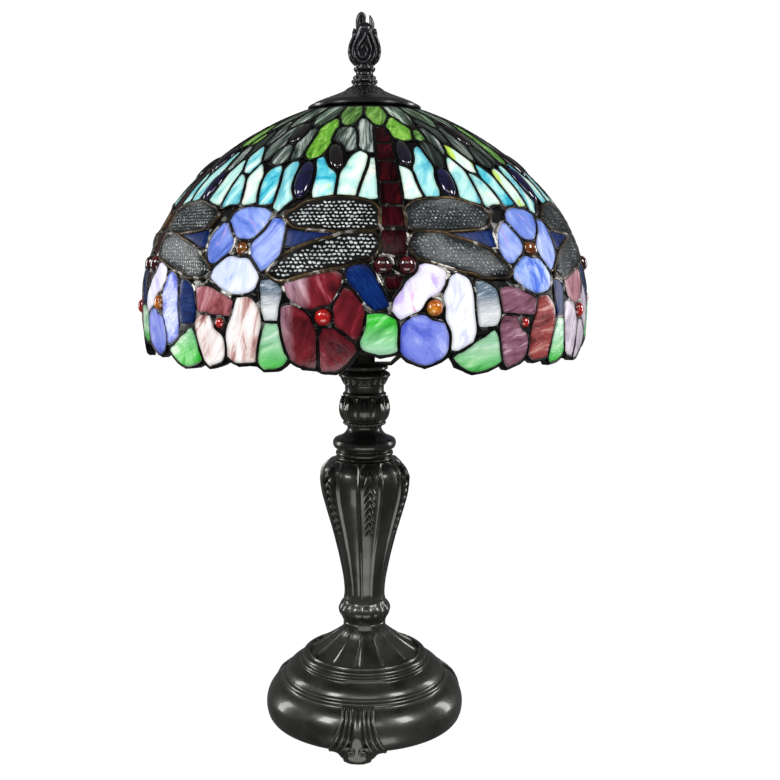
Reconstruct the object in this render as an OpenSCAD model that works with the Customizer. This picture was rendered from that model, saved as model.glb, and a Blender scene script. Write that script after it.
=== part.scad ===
/* [Shade] */
// Radius of the shade at its widest, a 12 inch shade
shade_r = 152.4; // [150:0.1:155]
// Height of the shade's widest point above the table
belly_z = 300; // [298:1:304]
// Thickness of the glass panes
glass_t = 2.4; // [2:0.1:3]
// Thickness of the soldered web between the panes
web_t = 4.4; // [4:0.1:5]
// Number of times the dragonfly pattern repeats around the shade
repeats = 5; // [5]
// Azimuth of the first dragonfly, from straight ahead
shade_turn = 6.7; // [0:0.1:12]

/* [Stand] */
// Height of the joint between the base and the waist ring
base_top = 70; // [70]
// Widest radius of the base
base_r = 71.5; // [70:0.5:73]
// Widest radius of the fluted stem
stem_r = 32.1; // [30:0.1:34]
// Number of flutes on the stem and the base
flutes = 12; // [12]
// Azimuth of the ridges between two flutes
flute_turn = -7.5; // [-15:0.5:15]
// Azimuth of the front scroll foot
foot_turn = -4; // [-10:1:10]
// Radius of the threaded rod that holds the stand together
rod_r = 5; // [4.8:0.1:5.1]

/* [Light] */
// Height of the neck plate that the socket stands on
plate_z = 261; // [261]
// Half of the distance between the harp's two legs
harp_foot = 27; // [26:0.5:28]
// Height of the top of the harp
harp_top = 427; // [426:1:428]
// Radius of the harp wire
wire_r = 2; // [1.8:0.1:2.2]
// Largest radius of the bulb's glass
bulb_r = 24; // [22:0.5:25]

/* [Hidden] */
rod_clear = 0.3;
bore_r = rod_r + rod_clear;
fit_gap = 0.1;

// The shade's outer surface is two arcs: a flat one from the crown and a
// tighter one that rolls over the belly. s is the length along it from the
// crown, u is the azimuth from the dragonfly, both as used by every pane.
low_arc = 120;
high_arc = 211;
crown_tilt = 20;
join_tilt = 45;
low_centre = [shade_r - low_arc, belly_z];
join_point = low_centre + low_arc * [sin(join_tilt), cos(join_tilt)];
high_centre = join_point - high_arc * [sin(join_tilt), cos(join_tilt)];
high_len = high_arc * (join_tilt - crown_tilt) * PI / 180;
edge_s = 218;
seat = web_t / 2;

function tilt(s) = s < high_len
    ? crown_tilt + s / high_arc * 180 / PI
    : join_tilt + (s - high_len) / low_arc * 180 / PI;
function dome(s, inset = 0) = s < high_len
    ? high_centre + (high_arc - inset) * [sin(tilt(s)), cos(tilt(s))]
    : low_centre + (low_arc - inset) * [sin(tilt(s)), cos(tilt(s))];
function around(u, rz) = [rz[0] * sin(u), -rz[0] * cos(u), rz[1]];
function middle(p) = [for (k = [0, 1]) [for (q = p) q[k]] * [for (q = p) 1] / len(p)];
function ellipse_points(u, s, across, along, lean, n) =
    [for (i = [0:n - 1]) let (x = across * cos(i * 360 / n), y = along * sin(i * 360 / n))
        [u + (x * cos(lean) - y * sin(lean)) / dome(s)[0] * 180 / PI,
         s + x * sin(lean) + y * cos(lean)]];

// ---- the pattern: one fifth of the shade, [azimuth, arc length] in
// degrees and millimetres, the dragonfly's body at azimuth 0 ----

// Rows of pointed leaves under the crown
crown_leaves = [for (c = [-28.8:14.4:28.8])
    [[c - 5.4, 5], [c + 5.4, 5], [c + 5.8, 14], [c + 4.4, 27], [c + 1.9, 37],
     [c, 40], [c - 1.9, 37], [c - 4.4, 27], [c - 5.8, 14]]];
bright_leaves = [
    [[-22.2, 31], [-21, 31], [-19.6, 44], [-19.8, 61], [-21.8, 75], [-24, 77.5],
     [-25.8, 72], [-26, 55], [-24.8, 40]],
    [[7.6, 28], [9, 29], [11.6, 40], [12.4, 49], [11, 56.5], [8, 58], [5.2, 54.5],
     [3.9, 46], [4.6, 38]],
    [[14.8, 48], [16.2, 46], [17.4, 50], [17, 57], [15, 59], [13.8, 55]]];
dark_leaves = [
    [[-18, 47], [-14.5, 44], [-11.5, 46], [-9.8, 56], [-10, 68], [-11.6, 70],
     [-14.5, 60.5], [-18.3, 58]],
    [[-7.6, 31], [-6, 32], [-3.6, 43], [-3.3, 56], [-3.7, 72.5], [-5.8, 71.5],
     [-7.8, 68], [-8.6, 56], [-8.8, 43]],
    [[14.8, 63], [16, 61], [18.4, 66], [18.8, 76], [17.6, 84], [15.4, 83.5], [14.6, 74]],
    [[18.8, 45], [20.7, 43], [22.4, 53], [22.2, 62], [21.3, 71], [20.2, 73], [18.6, 56]],
    [[21.2, 30], [22.4, 30], [25.4, 41], [27.4, 48], [27, 57.5], [25, 60.5],
     [23.6, 51], [21.6, 38]],
    [[32.6, 35], [33.6, 36], [33.7, 56], [33, 71], [31.2, 77], [29.4, 70],
     [28.8, 58], [30, 46]],
    [[-30.4, 46], [-28.8, 45], [-27.6, 50], [-27.5, 62], [-28.8, 75.5], [-30.2, 78],
     [-31.6, 70], [-31.2, 56]],
    [[-36.5, 66], [-34.4, 64.5], [-32.7, 68], [-32.8, 78], [-34.6, 82], [-37, 80], [-37.9, 72]]];
// Long pointed panes of sky above the wings
sky = [
    [[-36, 98], [-35, 88], [-33.2, 85.5], [-31.9, 92], [-31.1, 100], [-30.9, 114],
     [-34.2, 115.3], [-35.4, 107]],
    [[-30.3, 90], [-29, 82.5], [-28, 82], [-27.3, 92], [-26.7, 104], [-25.6, 112],
     [-28.2, 119.5], [-29.4, 117.5], [-29.6, 103]],
    [[-20.9, 79], [-20, 78], [-18, 86], [-15.4, 93.5], [-14.9, 101], [-15.1, 109],
     [-19.4, 111.5], [-19.9, 100], [-20.6, 88]],
    [[-9.5, 76], [-8, 72], [-6.2, 75.5], [-6.4, 86], [-7.6, 96], [-9.2, 109.5],
     [-13.4, 109], [-13.2, 98], [-11.8, 86]],
    [[-4.6, 78.5], [-3.8, 78.5], [-3.6, 90], [-3.6, 111.5], [-8, 111], [-7.4, 103],
     [-6.5, 95], [-5.2, 85]],
    [[3.7, 86], [5, 88], [6.6, 92], [7, 100], [7.8, 110.5], [3.7, 111.5]],
    [[12, 67], [13, 74], [13.6, 85], [12.9, 96], [12.4, 110.5], [9.4, 110.5],
     [8.4, 102], [8.2, 90], [9.6, 78]],
    [[21.3, 77], [22.6, 82], [24, 90], [24.3, 100], [24.1, 114], [21.6, 113.5],
     [19.1, 111], [19.3, 97], [20.2, 85]],
    [[23.9, 63], [25, 65.5], [28.2, 76], [29.6, 82], [28.6, 89], [27, 88],
     [25, 82], [23, 72.5]],
    [[25.7, 91], [27.2, 94], [29.2, 100], [30.3, 107.5], [30.8, 114], [26, 116], [25.5, 102]],
    [[31, 82], [32.6, 87], [34, 94], [35.2, 103.5], [36.2, 113.5], [32.6, 114.3],
     [31.6, 106], [30.3, 97], [30.1, 88]]];
ovals = [
    [-23.6, 96.5, 4.9, 14.5, 0], [-15.8, 76.5, 4.3, 12, -12], [6.2, 73, 4.2, 12, 0],
    [16.2, 99, 4.6, 11.5, 0], [-34.8, 48.5, 3.9, 12, 0]];
// The dragonfly: ladder body, head, wings and the dark wedges between wings
body_steps = [[45, 62], [64, 79.5], [81.5, 98.5], [100.5, 115.5], [117.5, 131], [133, 147]];
body_half = 2.4;
body_panes = [for (b = body_steps) let (top = b[0] == 45 ? 0.9 : body_half)
    [[-top, b[0]], [top, b[0]], [body_half, b[0] + 2], [body_half, b[1]],
     [-body_half, b[1]], [-body_half, b[0] + 2]]];
head_pane = [[-1.8, 160.5], [1, 160.5], [0.4, 165.5], [-1.5, 165.5]];
upper_wing = [[3.8, 120], [7, 115.5], [11, 113.5], [17, 113.9], [22, 117.5], [25.2, 123],
    [22.5, 128.6], [17, 131], [9.5, 131.8], [4, 130]];
lower_wing = [[3.9, 141], [5.2, 136.5], [9.5, 135.4], [14, 138.2], [19, 143], [24, 150.4],
    [27.6, 158], [25, 160.2], [19.5, 157.3], [12, 151.8], [5, 146.4]];
wedge = [[13.2, 134.9], [18, 134.2], [24.6, 133], [24.8, 142.5], [23, 142.2], [18, 138]];
function mirrored(p) = [for (i = [len(p) - 1:-1:0]) [-p[i][0], p[i][1]]];
wings = [upper_wing, lower_wing, mirrored(upper_wing), mirrored(lower_wing)];
wedges = [wedge, mirrored(wedge)];
eyes = [[-1.9, 153.5, 4.2], [1.9, 153.5, 4.2]];
// Blue flower between two dragonflies
blue_petals = [
    [[30.7, 126], [31.7, 121.5], [34.8, 118.6], [38.8, 118.6], [41.6, 122], [41.3, 128.6],
     [38.6, 137.2], [35.6, 137.8], [32.7, 133]],
    [[43.4, 125.5], [45.4, 128], [46.6, 136], [46.2, 143], [44.4, 152], [42.2, 156],
     [40.2, 151], [39.1, 144.5], [39.2, 140], [41.6, 133.5]],
    [[28.6, 128], [30.2, 128], [32.4, 135.5], [33, 141], [32.1, 146.5], [29.6, 151.5],
     [27.7, 151.5], [26.5, 144], [27.2, 134]],
    [[32.2, 150], [38, 150.4], [39.8, 154], [41.2, 161], [40.3, 166.5], [37, 169.4],
     [33, 166.8], [29.2, 161], [29.7, 156.2]]];
// Border flowers: petals and centres
left_flower = [
    [[-23.8, 165], [-19.5, 160.8], [-13.5, 157.6], [-11.9, 159.5], [-12.4, 168],
     [-15, 176.5], [-19, 177], [-22.3, 172]],
    [[-11, 166.5], [-9, 168.5], [-7.3, 177.5], [-7.4, 188], [-8.5, 195], [-10.5, 192],
     [-12.8, 187], [-13.1, 178]],
    [[-24.4, 178], [-22, 177.5], [-19.1, 183], [-17.5, 192], [-17.3, 203], [-17.6, 211.5],
     [-20, 211], [-22.8, 205.5], [-24, 195]],
    [[-15.4, 189.5], [-13.2, 189.5], [-9.8, 196.5], [-8.9, 202], [-10.2, 208], [-13, 213.5],
     [-15.7, 213.2], [-16, 203], [-15.9, 195]]];
lilac_pane = [[5.3, 153.4], [8.2, 153.8], [10.8, 158.5], [10.7, 165], [7.6, 171.5],
    [4, 180], [0.9, 183], [-0.3, 179], [0.2, 173.5]];
white_pane = [[12.3, 161], [13.8, 159.4], [16, 163], [17.2, 175], [17.4, 190], [17, 197],
    [14, 201.6], [12.6, 201.6], [12.4, 192], [11, 182], [10.6, 170]];
periwinkle_pane = [[3.4, 182.6], [6, 182.6], [8, 186], [10.3, 187.5], [11.3, 193],
    [11.1, 201], [9.5, 207.4], [6.5, 210.4], [3, 206.8], [1.2, 201], [1.3, 190]];
right_flower = [
    [[24.6, 168], [27, 167], [31.5, 171.6], [35, 175.2], [34.4, 182], [30, 181.6], [25.4, 180.5]],
    [[25.6, 184], [28.6, 184], [29.8, 190.5], [31.9, 196], [32.5, 203.5], [30.8, 210.8],
     [27.6, 213.6], [26.4, 209], [25.3, 198], [24.9, 188]],
    [[36.8, 173.5], [39.5, 173.5], [41.5, 179.5], [42, 188], [41, 201], [40.4, 208.6],
     [36, 210.8], [33.8, 206.6], [34.2, 194], [35.7, 183]]];
flower_centres = [[-15.5, 182.8, 3.1], [8.4, 177.7, 3.3], [31.7, 187.6, 2.9],
    [36.2, 143.6, 2.5]];
navy_pane = [[-10.6, 156.5], [-8.5, 153.2], [-6, 155], [-3.7, 165], [-1.7, 176.5],
    [-4.5, 178.6], [-6.6, 174], [-10, 163]];
strips = [
    [[-29.2, 163.6], [-27, 164], [-25.2, 168], [-25.6, 175], [-25.9, 184.5], [-28.3, 184.5],
     [-28.8, 176]],
    [[18.6, 164], [20.4, 165], [22.9, 169], [23.6, 176], [23.8, 182], [23, 187],
     [19.2, 188], [18.5, 180]]];
green_panes = [
    [[-28.1, 187.4], [-25.8, 187.4], [-25.1, 197], [-23.8, 206.5], [-26, 212.4],
     [-29.2, 213.2], [-30.1, 209.5], [-29.7, 201], [-28.8, 193]],
    [[-5.9, 181.6], [-3.4, 182], [-0.6, 185], [0, 192], [0, 201.5], [-3.4, 204],
     [-6.2, 200.8], [-7.1, 197], [-6.2, 188]],
    [[13.1, 206.4], [15.5, 203.4], [19.4, 197.6], [22.6, 193], [23.6, 198], [24.9, 209.6],
     [22, 214], [18, 215.2], [14.7, 211.2]]];
// Lower edge of the soldered web, one scallop under each border pane
scallops = [[-36, 213.2], [-33, 212.2], [-31.2, 212.4], [-29.6, 215.6], [-26, 214.8],
    [-23.4, 209.5], [-22.4, 209.3], [-20.4, 213.4], [-17.2, 214], [-15.9, 215.6], [-12.8, 216],
    [-9.4, 209.6], [-7.9, 203.6], [-6.2, 203.8], [-3.4, 206.4], [0.4, 204.2], [2.6, 209],
    [6.5, 212.8], [10.4, 209], [12.1, 205.6], [14, 213], [18, 217.6], [22.2, 216.2],
    [25.6, 212.4], [27.2, 216], [31.4, 212.8], [33.3, 210]];

// Which colour each flower and strip has in each repeat
red_repeats = [0, 2, 4];
rose_repeats = [1, 3];
mauve_repeats = [0, 2];
pale_repeats = [1, 3, 4];
clear_repeats = [0, 2, 4];
dark_repeats = [1, 3];
all_repeats = [0:repeats - 1];

function turned(p, k) = [for (q = p) [q[0] + shade_turn + k * 360 / repeats, q[1]]];
function all_turned(panes, which) = [for (k = which) for (p = panes) turned(p, k)];
function oval_panes(k) = [for (o = ovals) let (u = o[0] + shade_turn + k * 360 / repeats)
    ellipse_points(u, o[1], o[2], o[3], o[4], 16)];

// One flat pane, cut to its outline, lying against the dome
module pane(p, back, front) {
    c = middle(p);
    t = tilt(c[1]);
    origin = around(c[0], dome(c[1], seat));
    e1 = [cos(c[0]), sin(c[0]), 0];
    n = [sin(t) * sin(c[0]), -sin(t) * cos(c[0]), cos(t)];
    e2 = cross(n, e1);
    corners = [for (q = p) around(q[0], dome(q[1], seat)) - origin];
    sag = [for (q = corners) q * n] * [for (q = corners) 1] / len(p);
    translate(origin + sag * n) rotate([t, 0, c[0]]) translate([0, 0, back])
        linear_extrude(front - back) polygon([for (q = corners) [q * e1, q * e2]]);
}
module glass(panes) {
    for (p = panes) pane(p, -glass_t / 2, glass_t / 2);
}
// A round cabochon in the web, domed outside and flat inside
module cabochon(b, k, back, rise, r) {
    t = tilt(b[1]);
    translate(around(b[0] + shade_turn + k * 360 / repeats, dome(b[1], seat)))
        rotate([t, 0, b[0] + shade_turn + k * 360 / repeats]) translate([0, 0, back])
        rotate_extrude($fn = 48) {
            intersection() {
                translate([0, rise - (r * r + rise * rise) / (2 * rise)])
                    circle((r * r + rise * rise) / (2 * rise), $fn = 96);
                square([r, rise]);
            }
            translate([0, -1]) square([r, 1]);
        }
}
module cabochons(list) {
    for (k = all_repeats) for (b = list) cabochon(b, k, 0.2, 0.9 * b[2], b[2]);
}

module crown_leaf_glass() { color("olivedrab") glass(all_turned(crown_leaves, all_repeats)); }
module bright_leaf_glass() { color("yellowgreen") glass(all_turned(bright_leaves, all_repeats)); }
module dark_leaf_glass() { color("darkslategray") glass(all_turned(dark_leaves, all_repeats)); }
module sky_glass() { color("paleturquoise") glass(all_turned(sky, all_repeats)); }
module oval_gems() {
    color("midnightblue") for (k = all_repeats) for (p = oval_panes(k)) pane(p, -1, 2.6);
}
module body_glass() {
    color("maroon") glass(all_turned(concat(body_panes, [head_pane]), all_repeats));
}
module eye_gems() { color("darkred") cabochons(eyes); }
module wing_glass() { color("gray") glass(all_turned(wings, all_repeats)); }
module navy_glass() {
    color("midnightblue") {
        glass(all_turned(concat(wedges, [navy_pane]), all_repeats));
        glass(all_turned(strips, dark_repeats));
    }
}
module blue_petal_glass() { color("cornflowerblue") glass(all_turned(blue_petals, all_repeats)); }
module red_petal_glass() { color("firebrick") glass(all_turned(left_flower, red_repeats)); }
module rose_petal_glass() { color("thistle") glass(all_turned(left_flower, rose_repeats)); }
module mauve_petal_glass() { color("rosybrown") glass(all_turned(right_flower, mauve_repeats)); }
module pale_petal_glass() { color("mistyrose") glass(all_turned(right_flower, pale_repeats)); }
module lilac_petal_glass() { color("lavender") glass(all_turned([lilac_pane], all_repeats)); }
module white_petal_glass() { color("ghostwhite") glass(all_turned([white_pane], all_repeats)); }
module periwinkle_glass() { color("slateblue") glass(all_turned([periwinkle_pane], all_repeats)); }
module green_border_glass() { color("mediumseagreen") glass(all_turned(green_panes, all_repeats)); }
module clear_glass() { color("azure") glass(all_turned(strips, clear_repeats)); }
module flower_gems() { color("orangered") cabochons(flower_centres); }

// Ring with a scalloped top face that trims the web's lower edge
module edge_trimmer() {
    inner_r = shade_r - 30;
    outer_r = shade_r + 12;
    floor_z = dome(edge_s)[1] - 15;
    path = [for (k = all_repeats) for (q = scallops)
        [q[0] + shade_turn + k * 360 / repeats, dome(q[1])[1]]];
    n = len(path);
    points = concat(
        [for (q = path) around(q[0], [outer_r, floor_z])], [for (q = path) around(q[0], [outer_r, q[1]])],
        [for (q = path) around(q[0], [inner_r, q[1]])], [for (q = path) around(q[0], [inner_r, floor_z])]);
    faces = [for (side = [0:3]) for (i = [0:n - 1]) for (half = [0, 1])
        let (j = (i + 1) % n, a = side * n, b = ((side + 1) % 4) * n)
        half == 0 ? [a + i, b + i, a + j] : [b + i, b + j, a + j]];
    polyhedron(points, faces);
}
web_top_s = -4;
web_bands = 9;
module shade_web() {
    steps = [for (i = [0:web_bands]) web_top_s + (edge_s - web_top_s) * i / web_bands];
    color("dimgray") difference() {
        rotate_extrude($fn = 144) polygon(concat(
            [for (s = steps) dome(s)],
            [for (i = [len(steps) - 1:-1:0]) dome(steps[i], web_t)]));
        for (p = concat(
            all_turned(crown_leaves, all_repeats), all_turned(bright_leaves, all_repeats),
            all_turned(dark_leaves, all_repeats), all_turned(sky, all_repeats),
            all_turned(body_panes, all_repeats), all_turned([head_pane], all_repeats),
            all_turned(wings, all_repeats), all_turned(wedges, all_repeats),
            all_turned(blue_petals, all_repeats), all_turned(left_flower, all_repeats),
            all_turned([lilac_pane, white_pane, periwinkle_pane, navy_pane], all_repeats),
            all_turned(right_flower, all_repeats), all_turned(strips, all_repeats),
            all_turned(green_panes, all_repeats), [for (k = all_repeats) each oval_panes(k)]))
            pane(p, -6, 6);
        for (k = all_repeats) for (b = concat(eyes, flower_centres))
            translate(around(b[0] + shade_turn + k * 360 / repeats, dome(b[1], seat)))
                rotate([tilt(b[1]), 0, b[0] + shade_turn + k * 360 / repeats])
                translate([0, 0, -6]) cylinder(h = 12, r = b[2], $fn = 48);
        edge_trimmer();
    }
}

// ---- the stand ----

// Closed surface through rings of points, fluted or lobed by scale_at(angle)
module lofted(rings, sides) {
    n = len(rings);
    points = [for (ring = rings) each ring];
    walls = [for (i = [0:n - 2]) for (j = [0:sides - 1]) for (half = [0, 1])
        let (a = i * sides + j, b = i * sides + (j + 1) % sides)
        half == 0 ? [a, b, a + sides] : [b, b + sides, a + sides]];
    ends = [for (j = [1:sides - 2]) each
        [[0, j + 1, j], [(n - 1) * sides, (n - 1) * sides + j, (n - 1) * sides + j + 1]]];
    polyhedron(points, concat(walls, ends));
}
per_flute = 4;
// Ring of concave flutes that meet in sharp ridges
function fluted_ring(r, z, depth) = [for (i = [0:flutes * per_flute - 1])
    let (a = i * 360 / (flutes * per_flute), q = r - depth * sin(180 * (i % per_flute) / per_flute))
    around(a + flute_turn, [q, z])];
// Ring of convex lobes with creases between them
function lobed_ring(r, z, lobes, depth) = [for (i = [0:lobes * per_flute - 1])
    let (a = i * 360 / (lobes * per_flute), q = r - depth * (1 - sin(180 * (i % per_flute) / per_flute)))
    around(a, [q, z])];
module turned_part(profile) {
    rotate_extrude($fn = 96) polygon(profile);
}
module rod_bore(z0, z1) {
    translate([0, 0, z0 - 1]) cylinder(h = z1 - z0 + 2, r = bore_r, $fn = 48);
}

// Base: a cast shell, fluted cone above, two ridge rings and a round skirt
skirt_z = 15;
rim_z = 7.5;
wall = 3;
grommet_z = 18;
cone_z = 51;
cone_rings = [[40.5, cone_z, 1.2], [34, 52.6, 2.4], [28.5, 54.6, 2.6], [24, 57.2, 2.2], [20.5, 60.4, 1.7],
    [17.8, 64, 1.2], [16, 67.4, 0.8], [15.2, base_top, 0.5]];
skirt_arc = [-25:12.5:65];
function skirt_point(a, out = 0) = [base_r - 18, skirt_z] + [(18 + out) * cos(a), (18.6 + out) * sin(a)];
module base_casting() {
    color([0.16, 0.13, 0.1]) difference() {
        turned_part(concat(
            [[bore_r, 30], [12, 30], [12, 44], [34, 42.6], [43, 40], [50, 36], [54, 32], [61, 27],
             [66, 21], [68, skirt_z], [66.4, rim_z]],
            [for (a = skirt_arc) skirt_point(a)],
            [[58, 35], [57.6, 37.5], [56, 39.6], [53.6, 40.6], [51, 41.2], [48, 43], [46.2, 45],
             [46.4, 47.2], [45, 49.4], [42.6, cone_z], [bore_r, cone_z]]));
        translate([0, 0, grommet_z]) rotate([-90, 0, 0]) cylinder(h = base_r + 10, r = 4, $fn = 48);
    }
}
module base_cone() {
    color([0.16, 0.13, 0.1]) difference() {
        lofted([for (c = cone_rings) fluted_ring(c[0], c[1], c[2])], flutes * per_flute);
        rod_bore(cone_z, base_top);
    }
}
// Scroll foot: a fan of ridges over the skirt that ends in a curled toe
feet = 3;
fan = [-3:3];
toe_r = 5.4;
toe_flat = 0.5;
module foot_ridge(i) {
    hull() {
        rotate(i * 4) translate([0, -58.2, 33.6]) sphere(2.6, $fn = 6);
        rotate(i * 4.3) translate([0, -69.6, 20]) sphere(3.5, $fn = 6);
        rotate(i * 4.6) translate([0, -69.2, 8.6]) sphere(4 - 0.3 * abs(i), $fn = 6);
    }
}
module scroll_foot() {
    for (i = fan) foot_ridge(i);
    hull() {
        translate([0, -68.5, 10]) sphere(5, $fn = 8);
        translate([-5, -65.5, toe_r - toe_flat]) rotate([0, 90, 0]) cylinder(h = 10, r = toe_r, $fn = 16);
    }
    for (side = [-1, 1]) translate([side * 8.5 - 4, -65.5, 4.8 - toe_flat]) rotate([0, 90, 0])
        cylinder(h = 8, r = 4.8, $fn = 12);
}
sunk = 0.8;
module scroll_feet() {
    color([0.16, 0.13, 0.1]) difference() {
        for (k = [0:feet - 1]) rotate(foot_turn + k * 360 / feet) scroll_foot();
        rotate(foot_turn) rotate_extrude($fn = 36) polygon([[0, rim_z + sunk], [66.6, rim_z + sunk],
            skirt_point(-22, -sunk), skirt_point(8, -sunk), skirt_point(38, -sunk),
            skirt_point(66, -sunk), [57, 35], [50, 40], [0, 40]]);
        translate([-100, -100, -20]) cube([200, 200, 20]);
    }
}
module base_weight() {
    color([0.2, 0.2, 0.2]) difference() {
        translate([0, 0, 20]) cylinder(h = 10, r = 48, $fn = 96);
        rod_bore(20, 30);
    }
}
felt_z = rim_z + 1;
module base_felt() {
    color([0.12, 0.2, 0.14]) translate([0, 0, felt_z]) cylinder(h = 1.2, r = 66.2, $fn = 96);
}
module bottom_washer() {
    color("gold") difference() {
        translate([0, 0, 18.6]) cylinder(h = 1.4, r = 12, $fn = 48);
        rod_bore(18.6, 20);
    }
}
module bottom_nut() {
    color("gold") difference() {
        translate([0, 0, 12.6]) cylinder(h = 6, r = 9, $fn = 6);
        translate([0, 0, 12]) cylinder(h = 7, r = rod_r, $fn = 48);
    }
}
rod_end_z = plate_z + 16;
module threaded_rod() {
    color("gold") translate([0, 0, 11]) difference() {
        cylinder(h = rod_end_z - 11, r = rod_r, $fn = 48);
        translate([0, 0, -1]) cylinder(h = rod_end_z, r = rod_r - 1.4, $fn = 48);
    }
}
module cord_grommet() {
    color([0.05, 0.05, 0.05]) translate([0, 66, grommet_z]) rotate([-90, 0, 0]) difference() {
        union() {
            cylinder(h = 6, r = 4, $fn = 48);
            translate([0, 0, 5.6]) cylinder(h = 2, r = 5.4, $fn = 48);
        }
        translate([0, 0, -1]) cylinder(h = 10, r = 2.6, $fn = 48);
    }
}
waist_top = 75;
module waist_ring() {
    color([0.16, 0.13, 0.1]) difference() {
        turned_part([[0, base_top], [14.6, base_top], [15.3, 71], [15.3, 74], [14.8, waist_top],
            [0, waist_top]]);
        rod_bore(base_top, waist_top);
    }
}
// Stem: fluted baluster with a round knop at its foot
stem_top = 194;
stem_rings = [[15.8, waist_top, 0.3], [16.6, 78, 0.5], [18.2, 81, 0.8], [18.7, 84, 1], [17.6, 87, 1],
    [15.6, 89.8, 0.8], [14.8, 92.5, 0.8], [14.6, 97, 0.9], [15.3, 105, 1], [17, 114.5, 1.2],
    [19, 124, 1.4], [21.2, 133, 1.6], [23.4, 141.5, 1.7], [25.9, 150, 1.8], [28.5, 159, 1.9],
    [30.9, 168, 1.9], [stem_r, 176, 1.8], [stem_r, 181, 1.6], [30.8, 186, 1.3], [28.2, 190, 1],
    [24, stem_top, 0.6]];
module stem_casting() {
    color([0.16, 0.13, 0.1]) difference() {
        lofted([for (c = stem_rings) fluted_ring(c[0], c[1], c[2])], flutes * per_flute);
        rod_bore(waist_top, stem_top);
        turned_part([[0, 128], [13, 128], [20, 152], [25.5, 168], [26.5, 178], [25, 184], [20, 188],
            [0, 188]]);
    }
}
// Six sprays of laurel, one on every second panel of the stem
sprays = 6;
spray_z0 = 140;
function stem_at(z) = lookup(z, [for (c = stem_rings) [c[1], c[0] - c[2]]]);
leaf_rows = 5;
leaf_step = 8;
leaf_len = 9.4;
// Leaf with a sharp midrib, half sunk into the stem
module laurel_leaf(u, z, lean) {
    tip_z = z + leaf_len;
    tip_u = u + lean * 180 / PI / stem_at(tip_z);
    mid_z = z + 0.4 * leaf_len;
    mid_u = (u * 3 + tip_u * 2) / 5;
    half_u = 2.1 * 180 / PI / stem_at(mid_z);
    polyhedron([around(u, [stem_at(z), z]), around(mid_u - half_u, [stem_at(mid_z) + 0.6, mid_z]),
        around(mid_u + half_u, [stem_at(mid_z) + 0.6, mid_z]), around(mid_u, [stem_at(mid_z) + 2.3, mid_z]),
        around(tip_u, [stem_at(tip_z) + 0.8, tip_z]), around(mid_u, [stem_at(mid_z) - 1.5, mid_z])],
        [[0, 1, 3], [0, 3, 2], [4, 3, 1], [4, 2, 3], [0, 5, 1], [0, 2, 5], [4, 1, 5], [4, 5, 2]]);
}
module laurel_sprays() {
    color([0.18, 0.15, 0.12]) for (k = [0:sprays - 1]) let (u = 7.5 + k * 360 / sprays) {
        for (i = [0:leaf_rows - 1]) let (z = spray_z0 + i * leaf_step)
            for (side = [-1, 1])
                laurel_leaf(u + side * 62 / stem_at(z), z + side * 0.7, side * (2.8 + 0.4 * i));
        laurel_leaf(u, spray_z0 + leaf_rows * leaf_step + 0.3, 0);
    }
}
// Neck: collar, big torus, lotus bulb, ribbed drum and the plate on top
lotus_z0 = 221;
lotus_z1 = 239;
lobes = 10;
module neck_collar() {
    color([0.16, 0.13, 0.1]) difference() {
        turned_part([[0, stem_top], [19, stem_top], [20.2, 195.6], [20.2, 198], [18.6, 200],
            [20.6, 201.2], [22.1, 203.2], [22.4, 205.2], [21.8, 207.4], [20, 209], [16.2, 209.8],
            [14.6, 211], [13, 213.4], [11.8, 215.6], [12.2, 216.8], [13, 218.2], [14.2, 220],
            [14.6, lotus_z0], [0, lotus_z0]]);
        rod_bore(stem_top, lotus_z0);
    }
}
module lotus_bulb() {
    color([0.16, 0.13, 0.1]) difference() {
        lofted([for (c = [[14.6, lotus_z0, 0.3], [16, 222.4, 0.8], [17.3, 225, 1.4], [18.4, 228.5, 1.6],
            [18.2, 231.5, 1.6], [17.2, 234.4, 1.3], [15.6, 237, 0.8], [14.5, lotus_z1, 0.3]])
            lobed_ring(c[0], c[1], lobes, c[2])], lobes * per_flute);
        rod_bore(lotus_z0, lotus_z1);
    }
}
module neck_drum() {
    color([0.16, 0.13, 0.1]) difference() {
        turned_part([[0, lotus_z1], [14.6, lotus_z1], [15.3, 239.8], [15.3, 240.6], [13.8, 241.4],
            [13.8, 246.2], [14.7, 247.4], [14.7, 248.6], [15.6, 250.4], [17.4, 252.2], [18.2, 253.6],
            [17.6, 255], [15.4, 256.4], [14.2, 258], [0, 258]]);
        rod_bore(lotus_z1, 258);
    }
}
module neck_plate() {
    color([0.14, 0.12, 0.1]) difference() {
        turned_part([[0, 258], [16, 258], [16.6, 258.8], [16.6, 260], [15.8, plate_z], [0, plate_z]]);
        rod_bore(258, plate_z);
    }
}

// ---- the light ----

switch_turn = -50;
strap_t = 1.6;
strap_w = 12;
post_z = 269;
saddle_top = plate_z + strap_t;
module harp_saddle() {
    color([0.2, 0.17, 0.13]) difference() {
        union() {
            translate([-19, -strap_w / 2, plate_z]) cube([38, strap_w, strap_t]);
            for (side = [0, 1]) mirror([side, 0, 0]) {
                translate([19, strap_w / 2, plate_z]) rotate([90, 0, 0])
                    linear_extrude(strap_w)
                    polygon([[0, 0], [9.5, 8], [9.5, 9.8], [7.4, 9.8], [-0.6, strap_t]]);
                translate([harp_foot, 0, post_z]) cylinder(h = 7, r = wire_r, $fn = 32);
            }
        }
        rod_bore(plate_z, saddle_top);
    }
}
cap_top = 290;
module socket_cap() {
    color([0.1, 0.09, 0.08]) difference() {
        turned_part([[rod_r + fit_gap, saddle_top], [7.4, saddle_top], [7.4, 274], [10, 276], [15, 279.4],
            [17.4, 283], [17.6, cap_top], [16.4, cap_top], [16.2, 284], [14, 280.8], [9.4, 278.6],
            [rod_r + fit_gap, 278.6]]);
    }
}
shell_top = 326;
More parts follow.
